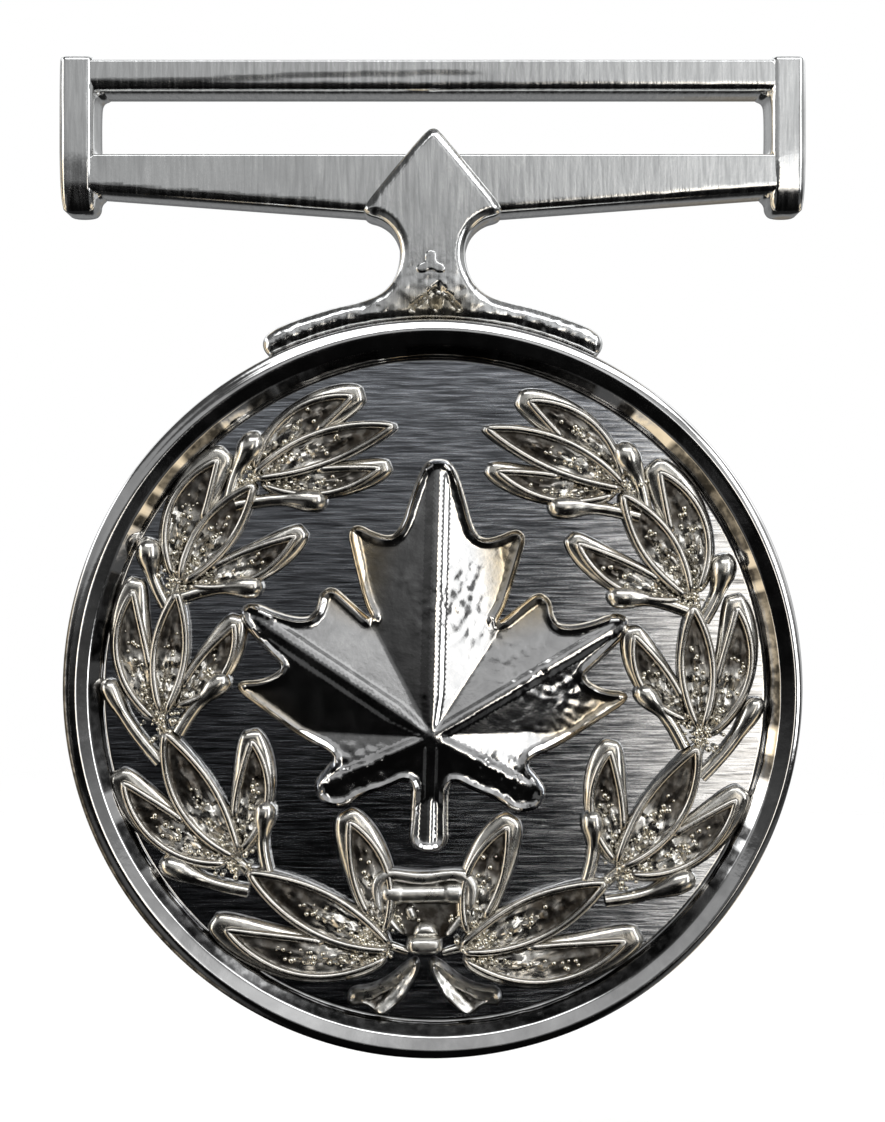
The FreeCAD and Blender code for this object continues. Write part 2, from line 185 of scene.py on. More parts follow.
field_metal = plated_metal(
    "brushed_field", colour=(0.5, 0.52, 0.56), shade_colour=(0.34, 0.33, 0.32), rough=(0.07, 0.17),
    grain=(6.0, 1.0, 16.0, 0.001), scratch=(0.5, 0.3, 7.5, 0.0075), streak=(0.25, 1.75)
)
rim_metal = plated_metal(
    "rolled_rim", colour=(0.78, 0.77, 0.76), shade_colour=(0.03, 0.03, 0.03), rough=(0.03, 0.1),
    grain=(3.0, 3.0, 3.0, 0.0025), scratch=(0.9, 0.9, 0.9, 0.006)
)


def rounded_profile(corners, rounds=3):
    """The profile's corners cut back until they are round; its two ends stay."""
    points = [Vector(p) for p in corners]
    for _ in range(rounds):
        cut = [points[0]]
        for a, b in zip(points, points[1:]):
            cut += [a.lerp(b, 0.25), a.lerp(b, 0.75)]
        cut.append(points[-1])
        points = cut
    return [(p.x, p.y) for p in points]


STEP_FOOT = 16.22
front_rim = rounded_profile(
    [
        (15.95, FIELD_Y), (STEP_FOOT, FIELD_Y), (16.27, FIELD_Y - 0.1), (16.32, FIELD_Y - 0.28),
        (16.52, FIELD_Y - 0.43), (16.72, FIELD_Y - 0.6), (16.82, FRONT + 0.2), (17.0, FRONT + 0.14),
        (17.2, FRONT + 0.075), (17.4, FRONT + 0.01), (17.52, FRONT), (17.72, FRONT + 0.05),
        (17.9, FRONT + 0.14), (DISC_R, FRONT + 0.3), (DISC_R, FRONT + 0.8)
    ]
)
back_rim = rounded_profile(
    [
        (DISC_R, BACK - 0.8), (DISC_R, BACK - 0.4), (17.8, BACK - 0.02), (17.5, BACK), (17.05, BACK),
        (16.9, BACK - 0.1), (16.45, BACK_FIELD_Y - 0.02), (16.2, BACK_FIELD_Y)
    ],
    rounds=2
)
TURNS = 600
profile = (
    [(r, FIELD_Y) for r in (2.0, 5.0, 8.0, 11.0, 13.5, 15.0)] + front_rim + back_rim
    + [(r, BACK_FIELD_Y) for r in (15.0, 12.0, 8.0, 4.0)]
)
angles = np.arange(TURNS) * 2 * math.pi / TURNS


def smoothstep(low, high, value):
    t = np.clip((value - low) / (high - low), 0, 1)
    return t * t * (3 - 2 * t)


def pitted(x, z, size, seed):
    """Smooth bumps about this many millimetres across, from -1 to 1, the same on every run."""
    total = 0.0
    for turn, share, weight in ((0.64, 1.0, 0.75), (2.05, 0.57, 0.55)):
        u = (np.cos(turn) * x + np.sin(turn) * z) / (size * share)
        v = (np.cos(turn) * z - np.sin(turn) * x) / (size * share)
        column, row = np.floor(u), np.floor(v)
        across, upward = smoothstep(0, 1, u - column), smoothstep(0, 1, v - row)
        corners = []
        for j in (0, 1):
            for i in (0, 1):
                wild = np.sin((column + i) * 127.1 + (row + j) * 311.7 + seed * 74.7) * 43758.5
                corners.append(2 * (wild - np.floor(wild)) - 1)
        low = corners[0] * (1 - across) + corners[1] * across
        high = corners[2] * (1 - across) + corners[3] * across
        total = total + weight * (low * (1 - upward) + high * upward)
    return total


BLOCK_LENGTH = 1.15  # of the marks that the cutter left on the step
STEP_MIDDLE = 16.5
around_x, around_z = DISC_R * np.sin(angles), DISC_R * np.cos(angles)
blocks = np.tanh(3.5 * pitted(around_x, around_z, BLOCK_LENGTH, 5))
ripple = blocks + 0.8 * pitted(around_x, around_z, 0.4, 8)
sway = 0.02 * np.sin(3 * angles + 0.5) + 0.012 * np.sin(7 * angles + 2.0)
sway = sway - 0.16 * np.cos(angles + math.pi / 4)  # the die sat a little low and to the right
rings = []
for radius, y in profile:
    on_step = math.exp(-(((radius - STEP_MIDDLE) / 0.2) ** 2)) if y < 0 else 0.0
    on_rim = float(smoothstep(15.85, 16.15, radius) * smoothstep(17.98, 17.75, radius))
    r = radius + sway * on_rim - 0.045 * ripple * on_step
    depth = np.full(TURNS, y) + 0.03 * ripple * on_step
    rings.append(np.stack([r * np.sin(angles), depth, r * np.cos(angles)], 1))
count = len(rings)
disc_verts = np.concatenate([*rings, [[0, FIELD_Y, 0], [0, BACK_FIELD_Y, 0]]])
disc_faces, disc_zone = [], []
for i in range(count - 1):
    a, b = i * TURNS, (i + 1) * TURNS
    outer = max(profile[i][0], profile[i + 1][0]) > STEP_FOOT - 0.12
    for j in range(TURNS):
        k = (j + 1) % TURNS
        disc_faces.append((a + j, a + k, b + k, b + j))
        disc_zone.append(1 if outer else 0)
for j in range(TURNS):
    k = (j + 1) % TURNS
    disc_faces.append((count * TURNS, k, j))
    disc_faces.append((count * TURNS + 1, (count - 1) * TURNS + j, (count - 1) * TURNS + k))
    disc_zone += [0, 0]
disc = new_piece("struck_disc", disc_verts, disc_faces, field_metal, rim_metal, face_material=disc_zone)


# Painted shade: how far each point's colour goes towards its material's low colour, from 0 to 1.
def set_painted_shade(piece, values):
    layer = piece.data.attributes.new("painted_shade", "FLOAT", "POINT")
    layer.data.foreach_set("value", np.clip(values, 0, 1).astype(np.float32))


def points_of(piece):
    """The piece's points in millimetres."""
    return np.array([v.co for v in piece.data.vertices]) / MM


# Painted shade on the disc: dark in the gaps between the cutter's marks on the step, darker there
# towards the bottom, and a painted shadow along the outer edge at the lower left.
reach = np.append(np.repeat([radius for radius, _ in profile], TURNS), [0.0, 0.0])
gap_shade = smoothstep(0.75, 0.35, np.append(np.tile(blocks, count), [0.0, 0.0]))
in_front = disc_verts[:, 1] < 0
gap_shade = np.maximum(gap_shade, smoothstep(-8.0, -13.0, disc_verts[:, 2]))
step_shade = 1.5 * np.exp(-(((reach - STEP_MIDDLE) / 0.3) ** 4)) * gap_shade * in_front
lower_left_shadow = smoothstep(3.0, 9.0, -(disc_verts[:, 0] + disc_verts[:, 2]) / 2)
set_painted_shade(disc, step_shade + smoothstep(17.66, 17.8, reach) * lower_left_shadow)
settle(disc, "disc_metal", "medal_disc")

# =============================================================== the maple leaf
# Struck in one with the disc, but cut deepest in the die. Sharp ribs run from its heart to
# the lobes' tips, flat facets fall away from them, and a rolled lip follows its outline.


def smooth_loop(points, rounds=2):
    """A closed outline with its corners cut back until they are round."""
    loop = np.array(points, float)
    for _ in range(rounds):
        ahead = np.roll(loop, -1, 0)
        loop = np.stack([loop * 0.75 + ahead * 0.25, loop * 0.25 + ahead * 0.75], 1).reshape(-1, 2)
    return loop


def even_loop(loop, step):
    """The closed outline again, with its points this far apart."""
    closed = np.vstack([loop, loop[:1]])
    along = np.concatenate([[0], np.cumsum(np.linalg.norm(np.diff(closed, axis=0), axis=1))])
    marks = np.linspace(0, along[-1], max(8, int(along[-1] / step)), endpoint=False)
    return np.stack([np.interp(marks, along, closed[:, i]) for i in (0, 1)], 1)


def distance_to(points, starts, ends):
    """How far each point is from the nearest of these straight runs."""
    best = np.full(len(points), 1e9)
    for a, b in zip(starts, ends):
        run = b - a
        share = np.clip(((points - a) @ run) / max(run @ run, 1e-12), 0, 1)
        best = np.minimum(best, np.linalg.norm(points - a - share[:, None] * run, axis=1))
    return best


def is_inside(points, loop):
    crossings = np.zeros(len(points), int)
    for a, b in zip(loop, np.roll(loop, -1, 0)):
        spans = (a[1] > points[:, 1]) != (b[1] > points[:, 1])
        rise = b[1] - a[1] if abs(b[1] - a[1]) > 1e-12 else 1e-12
        crossings += spans & (points[:, 0] < (b[0] - a[0]) * (points[:, 1] - a[1]) / rise + a[0])
    return crossings % 2 == 1


CREASE_SHARE = 0.6  # how much closer together the points along a crease lie


def struck(name, outline, front, back, material, step=0.14, edge=0.4, turned=False, creases=()):
    """A piece with this outline in plan, closed by a front and a back surface and a wall.

    front and back give y in millimetres from x, z and the distance to the outline. The points
    lie a step apart, closer together within this distance of the edge and along the creases.
    """
    loop = even_loop(outline, step)
    ahead, behind = np.roll(loop, -1, 0), np.roll(loop, 1, 0)
    tangent = ahead - behind
    tangent /= np.linalg.norm(tangent, axis=1)[:, None]
    area = 0.5 * np.sum(loop[:, 0] * ahead[:, 1] - ahead[:, 0] * loop[:, 1])
    inward = np.stack([-tangent[:, 1], tangent[:, 0]], 1) * (1 if area > 0 else -1)
    points = [loop]
    crease_step = CREASE_SHARE * step
    for share in (0.08, 0.22, 0.42, 0.68, 1.0):
        ring = loop + inward * share * edge
        ring = ring[is_inside(ring, loop)]
        points.append(ring[distance_to(ring, loop, ahead) > 0.93 * share * edge])
    crease_points = [
        np.array(a) + (np.array(b) - np.array(a)) * t
        for a, b in creases
        for t in np.linspace(0, 1, max(2, int(math.dist(a, b) / crease_step)))
    ]
    low, high = loop.min(0), loop.max(0)
    rows = np.arange(low[1], high[1], step * 0.87)
    grid = np.array(
        [
            (x + (0.5 * step if i % 2 else 0.0), z)
            for i, z in enumerate(rows)
            for x in np.arange(low[0], high[0], step)
        ]
    )
    grid = grid[is_inside(grid, loop)]
    grid = grid[distance_to(grid, loop, ahead) > edge + 0.5 * step]
    if crease_points:
        starts = [np.array(a) for a, _ in creases]
        ends = [np.array(b) for _, b in creases]
        grid = grid[distance_to(grid, starts, ends) > crease_step]
        lines = np.array(crease_points)
        lines = lines[is_inside(lines, loop)]
        points.append(lines[distance_to(lines, loop, ahead) > edge])
    points.append(grid)
    flat = np.concatenate(points)
    n = len(loop)
    made = delaunay_2d_cdt([Vector(p) for p in flat], [(i, (i + 1) % n) for i in range(n)], [], 1, 1e-6)
    plan = np.array([tuple(v) for v in made[0]])
    gap = distance_to(plan, loop, ahead)
    triangles = []
    for f in made[2]:
        (ax, az), (bx, bz), (cx, cz) = plan[f[0]], plan[f[1]], plan[f[2]]
        turn = (bx - ax) * (cz - az) - (cx - ax) * (bz - az)
        triangles.append(tuple(f) if turn > 0 else (f[0], f[2], f[1]))
    y_front = front(plan[:, 0], plan[:, 1], gap)
    y_back = back(plan[:, 0], plan[:, 1], gap)
    size = len(plan)
    verts = np.concatenate([np.stack([plan[:, 0], y, plan[:, 1]], 1) for y in (y_front, y_back)])
    directed = {(f[i], f[(i + 1) % 3]) for f in triangles for i in range(3)}
    walls = [(b, a, a + size, b + size) for a, b in directed if (b, a) not in directed]
    faces = triangles + [tuple(i + size for i in reversed(f)) for f in triangles] + sorted(walls)
    if turned:
        verts = die_turned(verts)
    return new_piece(name, verts, faces, material, sharp=50)


def die_turned(verts):
    """Points of the obverse design, turned about the disc's centre as the die was."""
    c, s = math.cos(DIE_TURN), math.sin(DIE_TURN)
    x, z = verts[:, 0].copy(), verts[:, 2].copy()
    verts[:, 0], verts[:, 2] = c * x + s * z, c * z - s * x
    return verts


def rolled(gap, radius):
    """0 at the outline, rising as a quarter circle to 1 at this distance from it."""
    return np.sqrt(np.clip(1 - (1 - np.clip(gap / radius, 0, 1)) ** 2, 0, 1))


half_leaf = [
    (0.0, 11.25), (0.55, 11.15), (0.95, 10.55), (1.4, 9.2), (1.75, 7.95), (2.2, 7.35), (3.0, 7.5),
    (3.9, 7.95), (4.4, 7.55), (4.15, 6.5), (3.8, 5.2), (3.45, 3.95), (2.95, 3.15), (4.1, 4.15),
    (5.0, 4.9), (5.7, 4.5), (5.8, 3.7), (6.2, 3.25), (7.4, 3.4), (8.85, 4.0), (9.6, 3.65), (9.35, 2.75),
    (8.0, 1.35), (7.3, 0.75), (8.35, 0.15), (9.5, 0.1), (9.6, -0.4), (8.3, -1.3), (6.2, -2.75),
    (4.6, -3.45), (5.2, -4.1), (5.75, -4.85), (5.4, -5.8), (4.3, -6.05), (3.3, -5.4), (2.0, -4.95),
    (0.92, -4.4), (0.92, -6.0), (1.02, -8.05)
]
leaf_outline = smooth_loop(half_leaf + [(-x, z) for x, z in reversed(half_leaf[1:])], 2)
HEART, HEART_HEIGHT = np.array([0.0, -2.35]), 0.84
# Each rib: its tip, its height at the heart and at the tip, and its half width.
ribs = [
    ((0.0, 10.6), HEART_HEIGHT, 0.56, 0.36), ((9.0, 3.3), HEART_HEIGHT, 0.52, 0.24),
    ((-9.0, 3.3), HEART_HEIGHT, 0.6, 0.42), ((5.3, -4.9), HEART_HEIGHT, 0.66, 0.2),
    ((-5.3, -4.9), HEART_HEIGHT, 0.66, 0.2), ((0.0, -7.9), 0.34, 0.62, 0.22)
]

FACET_FALL = 0.12  # how far a facet drops per millimetre from its rib
RIB_FOOT = 0.13  # how far a rib's steep side reaches out
RIB_START, RIB_SPREAD = 0.1, 1.6  # a rib's half width at the heart, and how fast it widens


def leaf_front(x, z, gap):
    points = np.stack([x, z], 1)
    facets = np.full(len(x), 0.26)
    raised = np.zeros(len(x))
    for tip, at_heart, at_tip, half_width in ribs:
        run = np.array(tip) - HEART
        share = np.clip(((points - HEART) @ run) / (run @ run), 0, 1)
        off = np.linalg.norm(points - HEART - share[:, None] * run, axis=1)
        facets = np.maximum(facets, at_heart + (at_tip - at_heart) * share - FACET_FALL * off)
        narrow = np.minimum(half_width, RIB_START + RIB_SPREAD * share)
        raised = np.maximum(raised, 0.06 * smoothstep(narrow + RIB_FOOT, narrow, off))
    lip = 0.11 * np.exp(-(((gap - 0.27) / 0.14) ** 2))
    far = np.hypot(x - HEART[0], z - HEART[1])
    coarse = smoothstep(3.0, 7.0, far) * (0.35 + 0.65 * smoothstep(-1.0, 2.0, x))
    coarse = coarse * smoothstep(-0.25, 0.35, pitted(x, z, 1.9, 2))
    coarse = np.maximum(coarse, 1.2 * smoothstep(-2.5, -3.4, z) * smoothstep(1.2, 2.6, np.abs(x)))
    height = (facets + raised + 0.022 * coarse * pitted(x, z, 0.3, 3)) * rolled(gap, 0.34) + lip
    return FIELD_Y - np.maximum(height, 0.02)


def sunk_back(x, z, gap):
    """The underside of a piece of relief, just inside the disc."""
    return np.full(len(x), FIELD_Y + 0.03)


emblem_metal = plated_metal(
    "polished_leaf", colour=(0.8, 0.79, 0.78), shade_colour=(0.66, 0.52, 0.3), rough=(0.04, 0.12),
    grain=(5.0, 5.0, 5.0, 0.0022), scratch=(1.2, 1.2, 1.2, 0.006)
)


def rib_creases():
    """Straight runs along each rib's middle, its two shoulders and its two feet."""
    runs = []
    for tip, _, _, half_width in ribs:
        along = np.array(tip) - HEART
        away = np.array([-along[1], along[0]]) / np.linalg.norm(along)
        full_from = HEART + along * (half_width - RIB_START) / RIB_SPREAD
        for way in (-1, 1):
            for off in (half_width, half_width + RIB_FOOT):
                runs.append((full_from + away * off * way, np.array(tip) + away * off * way))
        runs.append((HEART, np.array(tip)))
    return runs


leaf = struck(
    "maple_leaf_relief", leaf_outline, leaf_front, sunk_back, emblem_metal, turned=True,
    creases=rib_creases()
)
# Painted shade, tinted gold, on the leaf's low facets near the field.
lift = (FIELD_Y - points_of(leaf)[:, 1]) / HEART_HEIGHT
set_painted_shade(leaf, 0.75 * smoothstep(0.55, 0.3, lift))
settle(leaf, "emblem_metal", "maple_leaf")

# =============================================================== the laurel wreath
# Two branches struck in the disc, each of five sprays of three leaves with buds between.
# A leaf is a pillow of metal with a fine raised line round a sunk blade, and the die cutter
# left the blade's midrib as a string of small punched grains.
wreath_metal = plated_metal(
    "laurel_metal", colour=(0.78, 0.75, 0.69), shade_colour=(0.06, 0.05, 0.04), rough=(0.14, 0.28),
    grain=(5.0, 5.0, 5.0, 0.003), scratch=(1.6, 1.6, 1.6, 0.006)
)
# The cords are the wreath's own metal, painted darker: painted shade.
shaded_cord_metal = plated_metal(
    "shaded_cord_metal", colour=(0.66, 0.63, 0.58), shade_colour=(0.44, 0.35, 0.21), rough=(0.16, 0.3),
    grain=(5.0, 5.0, 5.0, 0.004), scratch=(1.6, 1.6, 1.6, 0.006)
)
# The grains are the same metal painted lighter and warmer: painted glints.
grain_highlight_metal = plated_metal(
    "grain_highlight_metal", colour=(0.95, 0.9, 0.78), shade_colour=(0.6, 0.46, 0.26), rough=(0.12, 0.26),
    grain=(6.0, 6.0, 6.0, 0.004), scratch=(2.0, 2.0, 2.0, 0.005)
)
SIDE_LEAF, TOP_LEAF = 0.56, 0.74  # how high they stand over the field
# base, tip, sideways bow to the left of the way it grows, width, and its height
laurel_leaves = [
    ((-2.3, -13.0), (-10.8, -11.3), 0.9, 2.5, SIDE_LEAF),
    ((-2.1, -12.6), (-9.1, -8.85), 0.15, 2.35, TOP_LEAF),
    ((-2.5, -11.9), (-4.3, -6.0), -0.3, 2.4, SIDE_LEAF),
    ((-10.0, -8.4), (-15.4, -4.0), 0.7, 2.3, SIDE_LEAF),
    ((-9.5, -8.1), (-13.05, -2.0), 0.35, 2.3, TOP_LEAF),
    ((-9.6, -8.0), (-8.9, -2.0), -0.5, 2.15, SIDE_LEAF),
    ((-13.4, -1.5), (-14.4, 5.4), 0.8, 2.1, SIDE_LEAF),
    ((-13.1, -1.2), (-12.4, 4.8), 0.05, 1.8, TOP_LEAF),
    ((-12.6, -0.8), (-9.5, 3.6), -0.45, 2.0, SIDE_LEAF),
    ((-12.5, 5.4), (-10.0, 11.6), 0.7, 2.4, SIDE_LEAF),
    ((-12.2, 5.2), (-8.6, 10.0), 0.1, 1.9, TOP_LEAF),
    ((-11.9, 5.1), (-6.2, 7.8), -0.45, 1.9, SIDE_LEAF),
    ((-8.6, 10.5), (-3.3, 14.4), 0.6, 2.2, SIDE_LEAF), ((-8.7, 10.3), (-1.7, 12.8), 0.2, 1.8, TOP_LEAF),
    ((-8.3, 10.0), (-2.0, 10.9), -0.35, 1.7, SIDE_LEAF)
]


def leaf_line(base, tip, bow, shares):
    """Points along a leaf's middle, and the way across it at each."""
    base, tip = np.array(base), np.array(tip)
    run = tip - base
    side = np.array([-run[1], run[0]]) / np.linalg.norm(run)
    control = (base + tip) / 2 + side * bow * 2
    t = np.asarray(shares)[:, None]
    line = (1 - t) ** 2 * base + 2 * t * (1 - t) * control + t * t * tip
    along = 2 * (1 - t) * (control - base) + 2 * t * (tip - control)
    along /= np.linalg.norm(along, axis=1)[:, None]
    return line, np.stack([-along[:, 1], along[:, 0]], 1)


ALONG, ACROSS = 54, 33  # points along a leaf and across it
leaf_shares = (1 - np.cos(np.linspace(0, math.pi, ALONG))) / 2
HOLLOW_FOOT = 0.5  # up to this share of a leaf's length its hollow is bright and rough
PRESSED = 0.12  # how high a leaf stands where another one lies on it
BLADE_FLOOR = 0.45  # how high the blade's floor is, as a share of the leaf's height


def leaf_widths(t, width, on_top):
    """Half the leaf's width and half its blade's width at these shares of its length."""
    full = (t + 0.012) ** (0.5 if on_top else 0.42) * (1.012 - t) ** (0.62 if on_top else 0.4)
    half = width / 2 * full / full.max() + 0.02
    lens_end, lens_width = (0.965, 0.84) if on_top else (0.9, 0.7)
    lens = np.sin(math.pi * np.clip((t + 0.02) / (lens_end + 0.02), 0, 1)) ** 0.8
    return half, lens_width * width / 2 * lens, lens_end


def laurel_outline(base, tip, bow, width, high):
    """The leaf's outline in plan."""
    line, side = leaf_line(base, tip, bow, leaf_shares)
    half = leaf_widths(leaf_shares, width, high == TOP_LEAF)[0][:, None]
    return np.concatenate([line + side * half, (line - side * half)[::-1]])


def pillowed(share, end, high):
    """How high the leaf's pillow is, this share of the way out and this far from its ends."""
    return (high - 0.08) * (1 - share**3.4) ** 0.5 * rolled(end + 0.03, 0.42)


def laurel_leaf(base, tip, bow, width, high, over=None):
    """One leaf as a closed shell, and the line of the cord that edges its blade.

    The shell is points, faces, and how much painted shade each point gets. over is the outline
    of a leaf that lies on this one, and presses it down.
    """
    t = leaf_shares
    line, side = leaf_line(base, tip, bow, t)
    length = math.dist(base, tip)
    half, blade, lens_end = leaf_widths(t, width, high == TOP_LEAF)
    v = np.sin(np.linspace(-1, 1, ACROSS) * math.pi / 2 * 0.86) / math.sin(math.pi / 2 * 0.86)
    off = v[None, :] * half[:, None]
    share = np.abs(v)[None, :]
    end = np.minimum(t * length, (1 - t) * length)[:, None]
    pillow = pillowed(share, end, high)
    from_line = np.abs(off) - blade[:, None]
    sunk = smoothstep(0.0, -0.2, from_line)
    x = line[:, :1] + side[:, :1] * off
    z = line[:, 1:] + side[:, 1:] * off
    near_foot = smoothstep(HOLLOW_FOOT + 0.12, HOLLOW_FOOT - 0.12, t)[:, None]
    bumps = 0.1 + 0.2 * pitted(x, z, 0.28, 4)
    midrib = np.exp(-((off / 0.24) ** 2)) * smoothstep(0.85, 0.6, t)[:, None]
    cast = bumps * (0.6 * near_foot + 0.8 * midrib)
    lift = pillow * (1 - sunk) + sunk * (BLADE_FLOOR * high + cast)
    lift = np.maximum(lift, 0.01)
    if over is not None:
        covered = is_inside(np.stack([x.ravel(), z.ravel()], 1), over).reshape(x.shape)
        lift = np.where(covered, np.minimum(lift, PRESSED), lift)
    top = np.stack([x, FIELD_Y - lift, z], 2).reshape(-1, 3)
    floor = top.reshape(ALONG, ACROSS, 3)[:, [0, -1]].reshape(-1, 3).copy()
    floor[:, 1] = FIELD_Y + 0.03
    n = ALONG * ACROSS
    faces = []
    for i in range(ALONG - 1):
        first, last = i * ACROSS, i * ACROSS + ACROSS - 1
        faces += [(a, a + ACROSS, a + ACROSS + 1, a + 1) for a in range(first, last)]
        left, right = n + 2 * i, n + 2 * i + 1
        faces.append((left, left + 1, right + 2, left + 2))
        faces.append((first, left, left + 2, first + ACROSS))
        faces.append((last, last + ACROSS, right + 2, right))
    faces.append(tuple(range(ACROSS)) + (n + 1, n))
    far = (ALONG - 1) * ACROSS
    faces.append(tuple(reversed(range(far, far + ACROSS))) + (n + 2 * ALONG - 2, n + 2 * ALONG - 1))
    # Painted shade: dark in the blade's hollow, less near the foot, dark where the leaf comes down to
    # the field, and full on the floor points.
    shell_shade = 1.4 * sunk * (1 - 0.8 * near_foot)
    shell_shade = np.maximum(shell_shade, 0.9 * smoothstep(0.3, 0.1, lift))
    shell_shade = np.concatenate([shell_shade.reshape(-1), np.ones(2 * ALONG)])
    edge_share = np.clip(blade / half, 0, 0.98)
    edge_lift = pillowed(edge_share, end[:, 0], high)
    walk = np.nonzero(t < lens_end)[0]
    cord = []
    for way, order in ((1, walk), (-1, walk[::-1])):
        for i in order:
            x, z = line[i] + side[i] * blade[i] * way
            hidden = over is not None and is_inside(np.array([[x, z]]), over)[0]
            cord.append((x, FIELD_Y - (0.0 if hidden else max(edge_lift[i], 0.08)), z))
    return (np.concatenate([top, floor]), faces, shell_shade), cord


def gather(parts):
    """Several shells as one: all their points, their faces and their painted shade."""
    verts, faces, shell_shades, start = [], [], [], 0
    for points, sides, shell_shade in parts:
        verts.append(points)
        faces += [tuple(i + start for i in f) for f in sides]
        shell_shades.append(shell_shade)
        start += len(points)
    return np.concatenate(verts), faces, np.concatenate(shell_shades)


def on_side(side, verts):
    """The left branch's points, or as the right branch's: mirrored about the die's own axis."""
    verts = np.array(verts)
    if side == "left":
        return verts
    verts[:, 0] *= -1
    return die_turned(die_turned(verts))


# The twig and the buds' stalks: points along each, and how thick it is at each.
twig_line = [
    (-1.2, -12.9), (-5.4, -11.3), (-9.4, -8.6), (-12.2, -4.8), (-13.3, -1.2), (-13.0, 2.6),
    (-12.2, 5.8), (-10.6, 8.6), (-8.5, 10.5)
]
bud_lines = [  # stalk's foot, head's middle, head's size
    ((-9.0, -9.9), (-12.75, -8.65), 0.62),
    ((-8.05, -8.9), (-8.15, -6.0), 0.6),
    ((-13.3, -3.6), (-15.75, 0.0), 0.5),
    ((-12.4, -2.2), (-10.35, 0.3), 0.58),
    ((-13.0, 4.0), (-13.85, 6.75), 0.66),
    ((-12.3, 4.4), (-8.8, 4.95), 0.58),
    ((-9.9, 9.2), (-8.75, 11.9), 0.7),
    ((-9.6, 8.9), (-5.7, 9.15), 0.6),
]

spray_feet = [(-3.0, -12.4), (-9.9, -8.3), (-13.1, -1.5), (-12.3, 5.1), (-8.7, 10.4)]
SPRAY_RAYS, FOOT_LIFT = 7, 0.42  # the rays of grains round a spray's foot, and their height
CORD_RADIUS = 0.195
GRAIN_SEEDS = {"left": 7, "right": 19}


def catmull(line, s):
    """The smooth curve through these points, at this place along them."""
    i = min(int(s), len(line) - 2)
    t = s - i
    a, b = line[max(i - 1, 0)], line[i]
    c, d = line[i + 1], line[min(i + 2, len(line) - 1)]
    return 0.5 * (
        2 * b + (c - a) * t + (2 * a - 5 * b + 4 * c - d) * t**2 + (3 * b - a - 3 * c + d) * t**3
    )


def bare_stalks():
    """The left twig and stalks as bare lines, with a girth at each point."""
    line = np.array(twig_line)
    dense = np.array([catmull(line, s) for s in np.linspace(0, len(line) - 1, 60)])
    girth = np.interp(np.arange(60), (0, 6, 50, 59), (0.2, 0.32, 0.3, 0.2))
    chains = [(dense, girth, 0.0)]
    for foot, head, size in bud_lines:
        foot, head = np.array(foot), np.array(head)
        run = head - foot
        away = run / np.linalg.norm(run)
        bend = np.array([-away[1], away[0]]) * 0.18
        t = np.linspace(0, 1, 12)[:, None]
        path = foot + run * t + bend * np.sin(math.pi * t)
        swell = [0.3, 0.3, 0.32, 0.34, 0.38, 0.44, 0.52, 0.62, 0.76, 0.92, 1.0, 0.98]
        swell = np.maximum(np.array(swell) * size, 0.33)
        t = np.array([0.25, 0.5, 0.75, 0.93, 1.02])[:, None]
        path = np.concatenate([path, head + away * size * t])
        swell = np.concatenate([swell, np.array([0.94, 0.82, 0.62, 0.34, 0.02]) * size])
        chains.append((path, swell, 0.26))
    verts, edges, girths = [], [], []
    for path, girth, lift in chains:
        start = len(verts)
        verts += [(x, FIELD_Y - lift, z) for x, z in path]
        edges += [(start + i, start + i + 1) for i in range(len(path) - 1)]
        girths += list(girth)
    return verts, edges, girths


def new_tree(name, **sockets):
    """An empty geometry tree, and its inputs by these names."""
    tree = bpy.data.node_groups.new(name, "GeometryNodeTree")
    tree.interface.new_socket("Geometry", in_out="OUTPUT", socket_type="NodeSocketGeometry")
    for label, kind in {"Geometry": "Geometry", **sockets}.items():
        tree.interface.new_socket(label, in_out="INPUT", socket_type="NodeSocket" + kind)
    return tree, node(tree, "NodeGroupInput").outputs


def grown(name, tree, values, verts, edges, girths=None):
    """The tree's result on this bare line work, as a plain mesh piece."""
    mesh = mesh_of(name + "_lines", verts, edges, [])
    if girths is not None:
        layer = mesh.attributes.new("girth", "FLOAT", "POINT")
        layer.data.foreach_set("value", np.array([g * MM for g in girths], np.float32))
    lines = added(name + "_lines", mesh)
    modifier = lines.modifiers.new("grow", "NODES")
    modifier.node_group = tree
    for item in tree.interface.items_tree:
        if item.in_out == "INPUT" and item.name in values:
            modifier[item.identifier] = values[item.name]
    bpy.context.view_layer.update()
    seen = lines.evaluated_get(bpy.context.evaluated_depsgraph_get())
    result = bpy.data.meshes.new_from_object(seen)
    result.name = name
    lines.modifiers.remove(modifier)
    bpy.data.objects.remove(lines)
    result.polygons.foreach_set("use_smooth", [True] * len(result.polygons))
    return added(name, result)


def ends_clad(tree, made, metal):
    """The tree's end: what was made as real geometry, in its metal."""
    realized = node(tree, "GeometryNodeRealizeInstances", {0: made.outputs[0]})
    inputs = {"Geometry": realized.outputs[0], "Material": metal}
    clad = node(tree, "GeometryNodeSetMaterial", inputs)
    node(tree, "NodeGroupOutput", {0: clad.outputs[0]})


# Stalks, buds and cords: a round section swept along the lines, as thick as their girth.
stalk_tree, given = new_tree("stalks_with_buds", Sides="Int", Metal="Material")
curve = node(stalk_tree, "GeometryNodeMeshToCurve", {"Mesh": given["Geometry"]})
girth = node(stalk_tree, "GeometryNodeInputNamedAttribute", {"Name": "girth"}, data_type="FLOAT")
inputs = {"Resolution": given["Sides"], "Radius": 1.0}
section = node(stalk_tree, "GeometryNodeCurvePrimitiveCircle", inputs)
inputs = {"Curve": curve.outputs[0], "Profile Curve": section.outputs[0]}
inputs |= {"Scale": girth.outputs[0], "Fill Caps": True}
ends_clad(stalk_tree, node(stalk_tree, "GeometryNodeCurveToMesh", inputs), given["Metal"])

